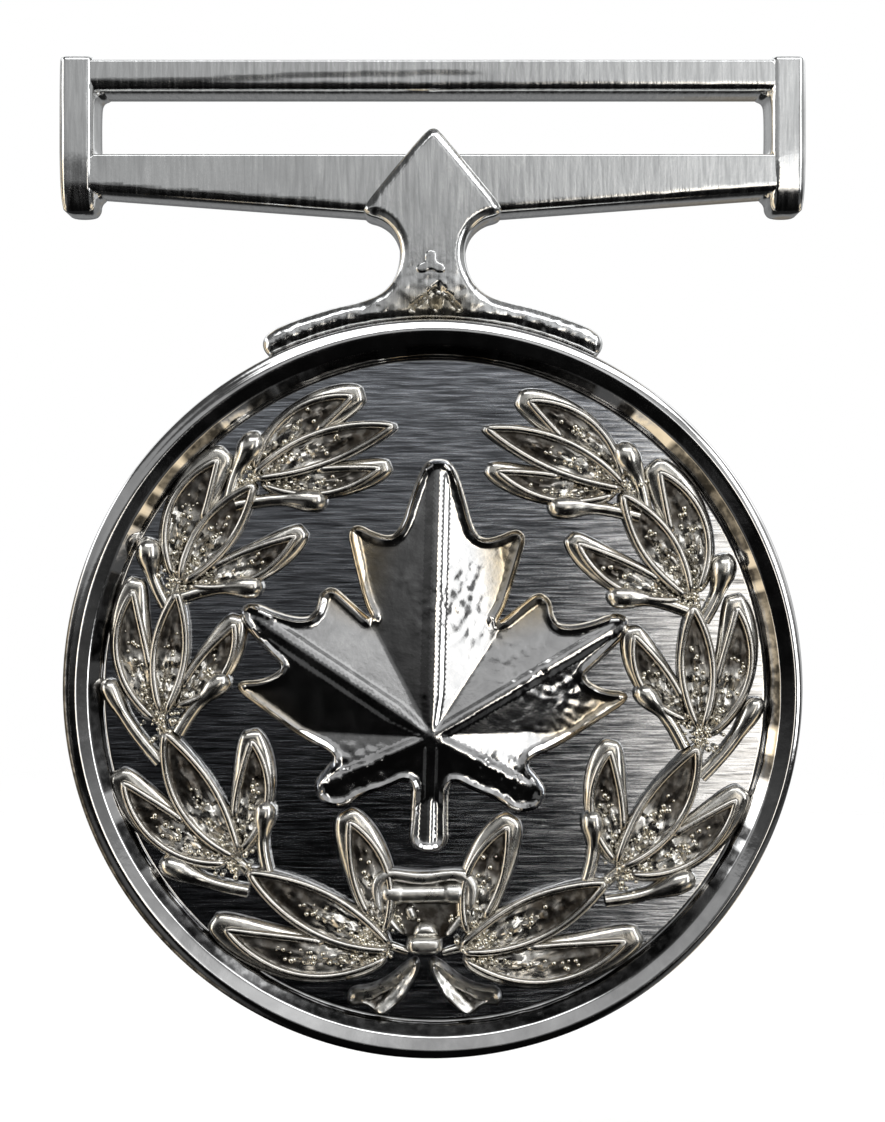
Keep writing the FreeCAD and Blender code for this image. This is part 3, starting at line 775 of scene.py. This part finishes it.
# Punched grains: beads of random sizes, scattered about points along the lines.
grain_tree, given = new_tree(
    "punched_grains", Spacing="Float", Scatter="Float", Smallest="Float", Largest="Float", Seed="Int",
    Metal="Material"
)
curve = node(grain_tree, "GeometryNodeMeshToCurve", {"Mesh": given["Geometry"]})
inputs = {"Curve": curve.outputs[0], "Length": given["Spacing"]}
dots = node(grain_tree, "GeometryNodeCurveToPoints", inputs, mode="LENGTH")
inputs = {0: (-1, -0.25, -1), 1: (1, 0.25, 1), "Seed": given["Seed"]}
jitter = node(grain_tree, "FunctionNodeRandomValue", inputs, data_type="FLOAT_VECTOR")
inputs = {0: jitter.outputs[0], "Scale": given["Scatter"]}
shift = node(grain_tree, "ShaderNodeVectorMath", inputs, operation="SCALE")
inputs = {"Geometry": dots.outputs[0], "Offset": shift.outputs[0]}
moved = node(grain_tree, "GeometryNodeSetPosition", inputs)
inputs = {2: given["Smallest"], 3: given["Largest"], "Seed": given["Seed"]}
size = node(grain_tree, "FunctionNodeRandomValue", inputs, data_type="FLOAT")
bead = node(grain_tree, "GeometryNodeMeshIcoSphere", {"Radius": 1.0, "Subdivisions": 2})
inputs = {"Points": moved.outputs[0], "Instance": bead.outputs[0], "Scale": size.outputs[1]}
ends_clad(grain_tree, node(grain_tree, "GeometryNodeInstanceOnPoints", inputs), given["Metal"])


def grain_sizes(spacing, scatter, smallest, largest, seed):
    labels = ("Spacing", "Scatter", "Smallest", "Largest")
    sizes = {k: v * MM for k, v in zip(labels, (spacing, scatter, smallest, largest))}
    return sizes | {"Seed": seed, "Metal": grain_highlight_metal}


for side in ("left", "right"):
    made = []
    for first in range(0, len(laurel_leaves), 3):
        outer, top, inner = laurel_leaves[first : first + 3]
        over = laurel_outline(*top)
        made += [laurel_leaf(*outer, over), laurel_leaf(*top), laurel_leaf(*inner, over)]
    verts, faces, shell_shade = gather([shell for shell, _ in made])
    if side == "right":
        faces = [tuple(reversed(f)) for f in faces]
    branch = new_piece("laurel_leaves_" + side, on_side(side, verts), faces, wreath_metal)
    set_painted_shade(branch, shell_shade)
    settle(branch, "wreath_metal", "wreath_branch_" + side)
    verts, edges, girths = bare_stalks()
    values = {"Sides": 14, "Metal": wreath_metal}
    name = "laurel_stalks_" + side
    settle(grown(name, stalk_tree, values, on_side(side, verts), edges, girths), "wreath_metal")
    verts, edges, girths = [], [], []
    for _, cord in made:
        start, size = len(verts), len(cord)
        verts += cord
        edges += [(start + i, start + (i + 1) % size) for i in range(size)]
        from_foot = np.minimum(np.arange(size), size - 1 - np.arange(size)) / size
        girths += list(CORD_RADIUS * (0.55 + 0.45 * smoothstep(0.0, 0.15, from_foot)))
    values = {"Sides": 12, "Metal": shaded_cord_metal}
    name = "laurel_edges_" + side
    settle(grown(name, stalk_tree, values, on_side(side, verts), edges, girths), "wreath_metal")
    verts, edges = [], []
    for base, tip, bow, width, high in laurel_leaves:
        line, _ = leaf_line(base, tip, bow, np.linspace(0.08, 0.6, 9))
        start = len(verts)
        verts += [(x, FIELD_Y - BLADE_FLOOR * high - 0.05, z) for x, z in line]
        edges += [(start + i, start + i + 1) for i in range(8)]
    for x, z in spray_feet:
        for turn in np.arange(SPRAY_RAYS) * 2 * math.pi / SPRAY_RAYS + 0.4:
            edges.append((len(verts), len(verts) + 1))
            for out in (0.15, 1.0):
                ray_end = (x + out * math.cos(turn), FIELD_Y - FOOT_LIFT, z + out * math.sin(turn))
                verts.append(ray_end)
    values = grain_sizes(0.13, 0.34, 0.05, 0.16, GRAIN_SEEDS[side])
    name = "laurel_grains_" + side
    settle(grown(name, grain_tree, values, on_side(side, verts), edges), "wreath_metal")

# =============================================================== the bow
# Struck with the wreath, where the two branches cross. A wide ribbon loop is folded over at
# the top, drawn together by a barrel-shaped knot, and two notched tails spread below it.


def pillow_to(lines, radius):
    """How near each point is to these straight runs: 1 on them, 0 this far off."""
    starts = [np.array(a) for a, _ in lines]
    ends = [np.array(b) for _, b in lines]

    def near(x, z):
        off = distance_to(np.stack([x, z], 1), starts, ends)
        return np.sqrt(np.clip(1 - (off / radius) ** 2, 0, 1))

    return near


bow_metal = plated_metal(
    "bow_metal", colour=(0.88, 0.86, 0.81), shade_colour=(0.05, 0.04, 0.03), rough=(0.24, 0.38),
    grain=(5.0, 5.0, 5.0, 0.004), scratch=(1.6, 1.6, 1.6, 0.006)
)
loop_outline = smooth_loop(
    [
        (-1.3, -12.3), (-2.45, -11.2), (-3.05, -10.2), (-3.05, -9.2), (-2.3, -8.65), (-0.6, -8.92),
        (1.1, -8.7), (2.05, -8.9), (2.4, -9.7), (2.1, -10.8), (1.2, -11.8), (0.6, -12.3)
    ],
    3
)
over_fold = np.array(
    [
        (-2.72, -10.8), (-2.74, -9.7), (-2.1, -9.05), (-0.5, -9.2), (1.15, -9.02), (1.9, -9.6),
        (1.92, -10.5)
    ]
)
over_fold = [tuple(catmull(over_fold, s)) for s in np.linspace(0, len(over_fold) - 1, 25)]
outer_band = pillow_to(list(zip(over_fold, over_fold[1:])), 0.42)
inner_roll = pillow_to([((-2.05, -10.04), (-1.75, -10.04)), ((0.85, -9.99), (1.15, -9.99))], 0.56)
roll_waist = pillow_to([((-1.8, -10.06), (0.9, -10.02))], 0.49)
gathers = pillow_to(
    [((-2.1, -11.35), (-1.6, -12.0)), ((-1.1, -10.85), (-1.0, -11.1)), ((1.45, -11.2), (0.85, -12.0))],
    0.26
)


def loop_front(x, z, gap):
    height = 0.12 + 0.07 * pitted(x, z, 0.4, 16)
    height = np.maximum(height, 0.16 + 0.44 * outer_band(x, z))
    height = np.maximum(height, 0.1 + 0.56 * inner_roll(x, z))
    height = np.maximum(height, 0.1 + 0.5 * roll_waist(x, z))
    height = np.maximum(height, 0.14 + 0.34 * gathers(x, z))
    return FIELD_Y - np.maximum(height * rolled(gap, 0.16), 0.02)


knot_outline = smooth_loop(
    [
        (-1.3, -12.1), (-0.9, -11.98), (0.1, -11.98), (0.5, -12.1), (0.5, -12.85), (0.1, -13.02),
        (-0.9, -13.02), (-1.3, -12.85)
    ],
    3
)
arch_outline = smooth_loop(
    [(-1.1, -12.2), (-0.95, -11.6), (-0.6, -11.34), (-0.1, -11.34), (0.25, -11.6), (0.42, -12.2)], 2
)


def knot_front(x, z, gap):
    barrel = 0.62 + 0.24 * np.sqrt(np.clip(1 - ((z + 12.5) / 0.62) ** 2, 0, 1))
    return FIELD_Y - np.maximum(barrel * rolled(gap, 0.34), 0.02)


def arch_front(x, z, gap):
    return FIELD_Y - np.maximum(0.66 * rolled(gap, 0.42), 0.02)


tail_outline = smooth_loop(
    [
        (-0.75, -13.0), (-1.45, -13.45), (-2.2, -14.1), (-3.1, -14.5), (-4.0, -14.55), (-4.25, -15.1),
        (-4.05, -15.6), (-3.3, -15.45), (-2.7, -16.05), (-2.05, -15.8), (-1.35, -15.15), (-0.95, -14.4),
        (-0.55, -13.6)
    ],
    2
)
tail_folds = pillow_to(
    [
        ((-0.9, -13.4), (-1.9, -14.25)), ((-1.9, -14.25), (-3.0, -14.85)),
        ((-3.0, -14.85), (-3.95, -14.95)), ((-0.85, -13.6), (-1.6, -14.75)),
        ((-1.6, -14.75), (-2.45, -15.55))
    ],
    0.33
)


def tail_front(x, z, gap):
    height = 0.2 + 0.38 * tail_folds(x, z) + 0.05 * pitted(x, z, 0.5, 17)
    height = height * rolled(gap, 0.24) + 0.2 * np.exp(-(((gap - 0.22) / 0.1) ** 2))
    return FIELD_Y - np.maximum(height, 0.02)


BOW_MIDDLE = -0.4


def right_tail_front(x, z, gap):
    return tail_front(2 * BOW_MIDDLE - x, z, gap)


right_tail = tail_outline[::-1].copy()
right_tail[:, 0] = 2 * BOW_MIDDLE - right_tail[:, 0]
for name, outline, front in (
    ("bow_loop", loop_outline, loop_front), ("bow_arch", arch_outline, arch_front),
    ("bow_knot", knot_outline, knot_front), ("bow_tail_left", tail_outline, tail_front),
    ("bow_tail_right", right_tail, right_tail_front)
):
    part = struck(name, outline, front, sunk_back, bow_metal, step=0.08, edge=0.3)
    # Painted shade on the bow's low parts, near the field.
    height = (FIELD_Y - points_of(part)[:, 1]) / 0.5
    set_painted_shade(part, smoothstep(0.95, 0.55, height))
    settle(part, "wreath_metal", *(["wreath_bow"] if name == "bow_loop" else []))
# Three short runs of grains lie in the loop, where its cloth is gathered.
glints = [(-2.0, -10.8), (-1.4, -11.5), (-1.2, -10.7), (-0.9, -11.2), (1.0, -11.5), (1.6, -10.8)]
bow_grains = grown(
    "bow_grains", grain_tree, grain_sizes(0.07, 0.26, 0.05, 0.15, 31),
    [(x, FIELD_Y - 0.24, z) for x, z in glints], [(0, 1), (2, 3), (4, 5)]
)
settle(bow_grains, "wreath_metal")

# =============================================================== the claw
# One casting, filed and polished: two saddle arms soldered to the disc's edge, a waisted
# neck and a lozenge that laps over the lower bar. Its edges are bevelled, and the foot of
# the neck keeps the cracks and the pit that the casting left.
claw_low, claw_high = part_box("claw")
CLAW_FRONT, CLAW_BACK = claw_low.y / MM, claw_high.y / MM
bar_low, bar_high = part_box("lower_bar")
lower_top = bar_high.z / MM - DISC_Z
suspender_metal = plated_metal(
    "worn_suspender", colour=(0.86, 0.86, 0.85), shade_colour=(0.46, 0.42, 0.34), rough=(0.08, 0.22),
    grain=(6.0, 3.0, 4.5, 0.0034), scratch=(5.0, 1.0, 0.45, 0.0042), streak=(0.7, 1.16)
)


def arc(radius, start, end, count):
    """Points on a circle about the disc's centre, at angles in degrees from the top."""
    turns = np.radians(np.linspace(start, end, count))
    return [(radius * math.sin(t), radius * math.cos(t)) for t in turns]


SADDLE_TOP = DISC_R + 1.15
half_claw = [
    (0.05, 27.42), (0.62, 26.85), (1.9, 25.3), (3.05, 23.9), (3.42, 23.32), (3.22, 23.02),
    (2.55, 22.86), (1.95, 22.4), (1.62, 21.7), (1.58, 20.9), (1.8, 20.05), (2.3, 19.38), (2.95, 19.02)
]
half_claw += arc(SADDLE_TOP, 11.5, 24.2, 8)
half_claw += arc(DISC_R + 0.95, 25.9, 25.9, 1) + arc(DISC_R + 0.5, 26.6, 26.6, 1)
half_claw += arc(DISC_R + 0.01, 26.3, 1.0, 16)
claw_outline = smooth_loop(half_claw + [(-x, z) for x, z in reversed(half_claw[1:])], 2)
cracks = pillow_to(
    [((0.3, 19.55), (-1.0, 18.5)), ((0.3, 19.55), (1.35, 18.4)), ((0.25, 19.0), (0.2, 18.6))], 0.13
)
crack_pit = pillow_to([((0.2, 19.1), (0.15, 18.75))], 0.34)


def claw_front(x, z, gap):
    bevel = 0.2 * (1 - np.clip(gap / 0.4, 0, 1)) + 0.22 * (1 - rolled(gap, 0.16))
    worn = smoothstep(21.5, 19.0, z)
    rough = (0.03 * pitted(x, z, 0.42, 9) + 0.02 * pitted(x, z, 1.0, 10)) * worn
    hollow = 0.22 * cracks(x, z) + 0.3 * crack_pit(x, z)
    # the saddle is filed a little lower than the neck and falls away to its ends
    saddle = 0.1 * smoothstep(2.0, 4.0, np.abs(x)) * smoothstep(21.0, 19.2, z)
    return CLAW_FRONT + bevel + rough + hollow + saddle


def flat_back(level, roll=0.2):
    return lambda x, z, gap: np.full(len(x), level) - roll * (1 - rolled(gap, roll))


claw = struck(
    "claw_casting", claw_outline, claw_front, flat_back(CLAW_BACK), suspender_metal, step=0.12,
    edge=0.42
)
claw_x, _, claw_z = points_of(claw).T
# Painted shade at the foot of the neck, where it sits on the disc's edge, round the cracks and the pit.
near_foot = smoothstep(19.9, 18.6, claw_z - DISC_Z) * smoothstep(3.0, 0.3, np.abs(claw_x))
set_painted_shade(claw, 1.2 * near_foot)
settle(claw, "claw_metal", "claw")

mark_turns = np.radians(np.arange(0, 360, 6))
mark_reach = 0.5 + 0.2 * np.cos(3 * (mark_turns - math.pi / 2))
mark_outline = np.stack(
    [-0.08 + mark_reach * np.cos(mark_turns) * 1.15, 20.62 + mark_reach * np.sin(mark_turns)], 1
)
mark = struck(
    "claw_mark_relief", mark_outline, lambda x, z, gap: CLAW_FRONT - 0.09 * rolled(gap, 0.12) + 0.02,
    lambda x, z, gap: np.full(len(x), CLAW_FRONT + 0.08), suspender_metal, step=0.06, edge=0.14
)
settle(mark, "claw_metal", "claw_mark")

# =============================================================== the two bars
# Drawn bar, the top one straight and the lower one tapered from the middle out. Both have
# a flat face and a rounded under-edge, and their tenons are brazed into the posts.
top_low, top_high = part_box("top_bar")
BAR_FRONT, BAR_BACK = top_low.y / MM, top_high.y / MM
post_low, post_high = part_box("end_post_right")
SLOT_HALF = post_low.x / MM
top_under, top_over = top_low.z / MM - DISC_Z, top_high.z / MM - DISC_Z
lower_under_end = lower_top - 1.84
lower_under_middle = bar_low.z / MM - DISC_Z + 0.05


def bar_wave(x, z):
    return 0.006 * pitted(x, z, 2.6, 11)


def top_bar_front(x, z, gap):
    under, over = z - top_under, top_over - z
    ledge = 0.4 + 0.42 * smoothstep(-15.5, -2.0, x) + 0.03 * pitted(x, 0.0, 1.6, 13)
    step = 0.035 * smoothstep(3.5, 1.0, x) * smoothstep(ledge + 0.1, ledge - 0.06, under)
    uneven = 0.05 * pitted(x, 0.0, 1.3, 14)
    bevel = 0.38 * (1 - rolled(under, 0.4 + uneven)) + 0.05 * (1 - rolled(over, 0.1))
    return BAR_FRONT + bevel + step + bar_wave(x, z)


INTO_POST = 0.25  # how far the looks of a bar reach into a post
reach_x = SLOT_HALF + INTO_POST
top_bar = struck(
    "top_bar_drawn",
    np.array([(-reach_x, top_under), (reach_x, top_under), (reach_x, top_over), (-reach_x, top_over)]),
    top_bar_front, flat_back(BAR_BACK, 0.15), suspender_metal, step=0.16, edge=0.42
)
settle(top_bar, "bar_metal", "top_bar")


MIDDLE_HALF = 3.0  # half of the lower bar's straight stretch, behind the claw


def under_edge(x):
    return np.interp(np.abs(x), (MIDDLE_HALF, SLOT_HALF), (lower_under_middle, lower_under_end))


def lower_bar_front(x, z, gap):
    under, over = z - under_edge(x), lower_top - z
    uneven = 0.05 * pitted(x, 0.0, 1.1, 15)
    bevel = 0.36 * (1 - rolled(under, 0.4 + uneven)) + 0.05 * (1 - rolled(over, 0.1))
    return BAR_FRONT + bevel + bar_wave(x + 3.0, z)


UNDER_CLAW = 0.03  # the claw's back stands this much proud of the bar's
lower_outline = np.array(
    [
        (-reach_x, lower_under_end), (-MIDDLE_HALF, lower_under_middle),
        (MIDDLE_HALF, lower_under_middle), (reach_x, lower_under_end), (reach_x, lower_top),
        (-reach_x, lower_top)
    ]
)
lower_bar = struck(
    "lower_bar_drawn", lower_outline, lower_bar_front, flat_back(BAR_BACK - UNDER_CLAW, 0.15),
    suspender_metal, step=0.16, edge=0.42
)
settle(lower_bar, "bar_metal", "lower_bar")

# =============================================================== the end posts
# Two upright caps that close the slot. Each is filed flat in front with bevelled sides, its
# lower end is rounded away, and the braze has left a small fillet in each corner.
POST_FRONT, POST_BACK = post_low.y / MM, post_high.y / MM
POST_OUT = post_high.x / MM
post_under, post_over = post_low.z / MM - DISC_Z, post_high.z / MM - DISC_Z
# The inner side as offsets from the slot's end, with a small fillet of braze in each corner.
inner_side = [
    (0.15, post_over), (0.0, post_over - 0.12), (0.0, top_under + 0.3), (-0.5, top_under + 0.28),
    (-0.46, top_under - 0.02), (-0.12, top_under - 0.12), (0.0, top_under - 0.48),
    (0.0, lower_top + 0.3), (-0.1, lower_top + 0.06), (-0.32, lower_top), (-0.32, lower_top - 0.25),
    (0.0, lower_top - 0.3), (0.0, lower_under_end + 0.2), (-0.3, lower_under_end + 0.16),
    (-0.28, lower_under_end - 0.02), (0.0, lower_under_end - 0.25), (0.02, post_under + 0.3),
    (0.3, post_under)
]
outer_side = [
    (POST_OUT - 0.3, post_under), (POST_OUT, post_under + 0.3), (POST_OUT, post_over - 0.15),
    (POST_OUT - 0.15, post_over)
]
right_post = smooth_loop(np.roll(outer_side + [(SLOT_HALF + x, z) for x, z in inner_side], -1, 0), 2)


def post_front(x, z, gap):
    inner, outer = np.abs(x) - SLOT_HALF, POST_OUT - np.abs(x)
    under, over = z - post_under, post_over - z
    bevel = 0.2 * (1 - np.clip(inner / 0.26, 0, 1)) + 0.2 * (1 - np.clip(outer / 0.26, 0, 1))
    ends = 0.75 * (1 - rolled(under, 1.5)) + 0.16 * (1 - rolled(over, 0.25))
    ends = ends + 0.12 * smoothstep(2.9 + 0.25 * pitted(x, z, 1.1, 12), 0.4, under)
    braze = 0.32 * smoothstep(0.05, -0.1, inner)
    return POST_FRONT + bevel + ends + braze + 0.05 * (1 - rolled(gap, 0.1))


for side, outline in (("right", right_post), ("left", (right_post * (-1, 1))[::-1])):
    post = struck(
        "end_post_cap_" + side, outline, post_front, flat_back(POST_BACK), suspender_metal, step=0.09,
        edge=0.34
    )
    settle(post, "post_metal", "end_post_" + side)

# =============================================================== the peg
# A short drawn wire pin that locates the claw on the disc's edge. It is out of sight.
pin_metal = plated_metal(
    "drawn_pin", colour=(0.5, 0.5, 0.5), shade_colour=(0.4, 0.38, 0.35), rough=(0.2, 0.4),
    grain=(4.0, 4.0, 4.0, 0.002), scratch=(6.0, 6.0, 0.8, 0.003)
)
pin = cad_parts["claw_peg"]
pin.data.materials.clear()
pin.data.materials.append(pin_metal)

# =============================================================== the studio
# The medal hangs over a plain pale floor, seen from straight in front. What its plating
# mirrors is a dark room with a grey ceiling, a lit panel overhead, windows to the right, a
# narrow one to the left, a dim table top in front and a pale wall behind.
SENSOR, VIEW_HEIGHT, CAMERA_AWAY = 36.0, 54.36, 92.0
cam_data = bpy.data.cameras.new("camera")
camera = added("camera", cam_data)
bpy.context.scene.camera = camera
cam_data.sensor_width = SENSOR
cam_data.lens = SENSOR * CAMERA_AWAY / VIEW_HEIGHT
cam_data.clip_start, cam_data.clip_end = 0.001, 10.0
camera.location = (0.48 * MM, (FRONT - CAMERA_AWAY) * MM, (DISC_Z + 6.2) * MM)
camera.rotation_euler = (math.radians(90), 0, 0)

world = bpy.data.worlds.new("studio")
bpy.context.scene.world = world
world.use_nodes = True
tree = world.node_tree
tree.nodes.clear()
way = node(tree, "ShaderNodeSeparateXYZ", {0: node(tree, "ShaderNodeTexCoord").outputs["Generated"]})
across, back, up = way.outputs[0], way.outputs[1], way.outputs[2]


def ramp(value, low, high, to_low=0.0, to_high=1.0):
    return ramp_between(tree, value, low, high, to_low, to_high)


def band(value, rise_from, rise_to, fall_from, fall_to):
    """1 between two limits with soft edges, 0 outside them."""
    rise, fall = ramp(value, rise_from, rise_to), ramp(value, fall_from, fall_to, 1.0, 0.0)
    return math_node(tree, "MULTIPLY", rise, fall)


def combined(operation, first, *others):
    for value in others:
        first = math_node(tree, operation, first, value)
    return first


def product(*values):
    return combined("MULTIPLY", *values)


haze = product(ramp(up, -0.12, 0.11, 0.0, 0.17), ramp(across, -0.32, -0.14, 0.4))
from_right = product(ramp(across, 0.0, 0.12), ramp(up, -0.35, -0.1), 0.05)
ceiling_light = ramp(across, -0.02, 0.18, 0.285, 0.54), ramp(across, 0.22, 0.34, 1.0, 0.4)
ceiling = product(band(up, 0.115, 0.165, 0.4, 0.5), *ceiling_light)
overhead = product(band(up, 0.52, 0.58, 0.74, 0.8), band(across, -0.45, -0.3, 0.55, 0.65), 3.0)
window = product(band(across, 0.1, 0.155, 0.26, 0.32), band(up, -0.24, -0.12, 0.13, 0.17), 1.25)
warm_spot = product(band(across, 0.1, 0.15, 0.19, 0.23), band(up, -0.24, -0.14, 0.05, 0.11))
glow = product(warm_spot, 1.5)
pane = product(band(across, 0.54, 0.58, 0.7, 0.74), band(up, -0.2, -0.12, 0.5, 0.58), 3.4)
side_band = band(across, -0.97, -0.93, -0.87, -0.83)
side_window = product(side_band, band(up, -0.35, -0.25, 0.5, 0.6), 2.6)
to_sides = ramp(math_node(tree, "ABSOLUTE", across), 0.3, 0.45)
table_top = product(ramp(up, -0.24, -0.36), to_sides, 0.09)
front_light = combined(
    "ADD", haze, from_right, ceiling, overhead, window, glow, pane, side_window, table_top, 0.003
)
wall = combined(
    "ADD", 0.015, product(ramp(back, 0.55, 0.85, 0.05, 0.22), ramp(up, -0.42, -0.3)),
    product(ramp(up, 0.1, 0.55), 1.1), product(ramp(across, 0.55, 0.8), ramp(up, -0.45, -0.2), 0.65)
)
left_side = product(ramp(across, -0.45, -0.65), ramp(up, 0.3, 0.1))
low_side = math_node(tree, "MAXIMUM", band(up, -0.82, -0.76, -0.55, -0.4), left_side)
across_edge = band(math_node(tree, "ABSOLUTE", back), 0.08, 0.16, 0.36, 0.48)
table_edge = product(across_edge, low_side)
light = mixed(tree, ramp(back, 0.0, 0.15), front_light, wall, "FLOAT")
light = math_node(tree, "MAXIMUM", light, product(table_edge, 1.2))
warmth = math_node(tree, "MAXIMUM", table_edge, product(warm_spot, 0.55))
tint = mixed(tree, warmth, (0.97, 0.985, 1.0, 1), (1.0, 0.83, 0.58, 1))
studio = node(tree, "ShaderNodeBackground", {"Color": tint, "Strength": light}).outputs[0]
white = {"Color": (1, 1, 1, 1), "Strength": 1.0}
plain = node(tree, "ShaderNodeBackground", white).outputs[0]
mirrored = node(tree, "ShaderNodeLightPath").outputs["Is Glossy Ray"]
shown = node(tree, "ShaderNodeMixShader", {0: mirrored, 1: plain, 2: studio})
node(tree, "ShaderNodeOutputWorld", {"Surface": shown.outputs[0]})
bpy.context.scene.view_settings.view_transform = "Standard"

FLOOR_DROP, FLOOR_SIZE = 13.0, 600.0
floor_z = cad_low.z - FLOOR_DROP * MM
span = FLOOR_SIZE * MM
floor_mesh = bpy.data.meshes.new("floor")
floor_mesh.from_pydata(
    [(-span, -span, floor_z), (span, -span, floor_z), (span, span, floor_z), (-span, span, floor_z)],
    [], [(0, 1, 2, 3)]
)
floor = added("floor", floor_mesh)
floor.visible_glossy = False
paper = bpy.data.materials.new("pale_floor")
paper.use_nodes = True
paper_tree = paper.node_tree
paper_shader = paper_tree.nodes["Principled BSDF"]
paper_shader.inputs["Base Color"].default_value = (0.94, 0.94, 0.935, 1)
paper_shader.inputs["Roughness"].default_value = 0.9
# the floor fades out with the distance, so that it has no edge
spot = node(paper_tree, "ShaderNodeTexCoord").outputs["Object"]
flat_spot = node(paper_tree, "ShaderNodeVectorMath", {0: spot, 1: (1, 1, 0)}, operation="MULTIPLY")
away = node(paper_tree, "ShaderNodeVectorMath", {0: flat_spot.outputs[0]}, operation="LENGTH")
fade = ramp_between(paper_tree, away.outputs["Value"], 70 * MM, 260 * MM)
clear = node(paper_tree, "ShaderNodeBsdfTransparent").outputs[0]
mix = node(paper_tree, "ShaderNodeMixShader", {0: fade, 1: paper_shader.outputs[0], 2: clear})
paper_tree.links.new(mix.outputs[0], paper_tree.nodes["Material Output"].inputs["Surface"])
floor_mesh.materials.append(paper)
floor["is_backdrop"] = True

panel_data = bpy.data.lights.new("soft_panel", "AREA")
panel_data.shape, panel_data.size, panel_data.energy = "DISK", 0.3, 0.6
panel = added("soft_panel", panel_data)
panel.location = (-0.1, -0.18, 0.32)
to_disc = Vector((0, 0, DISC_Z * MM)) - panel.location
panel.rotation_euler = to_disc.to_track_quat("-Z", "Y").to_euler()
panel.visible_glossy = False

low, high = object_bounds()
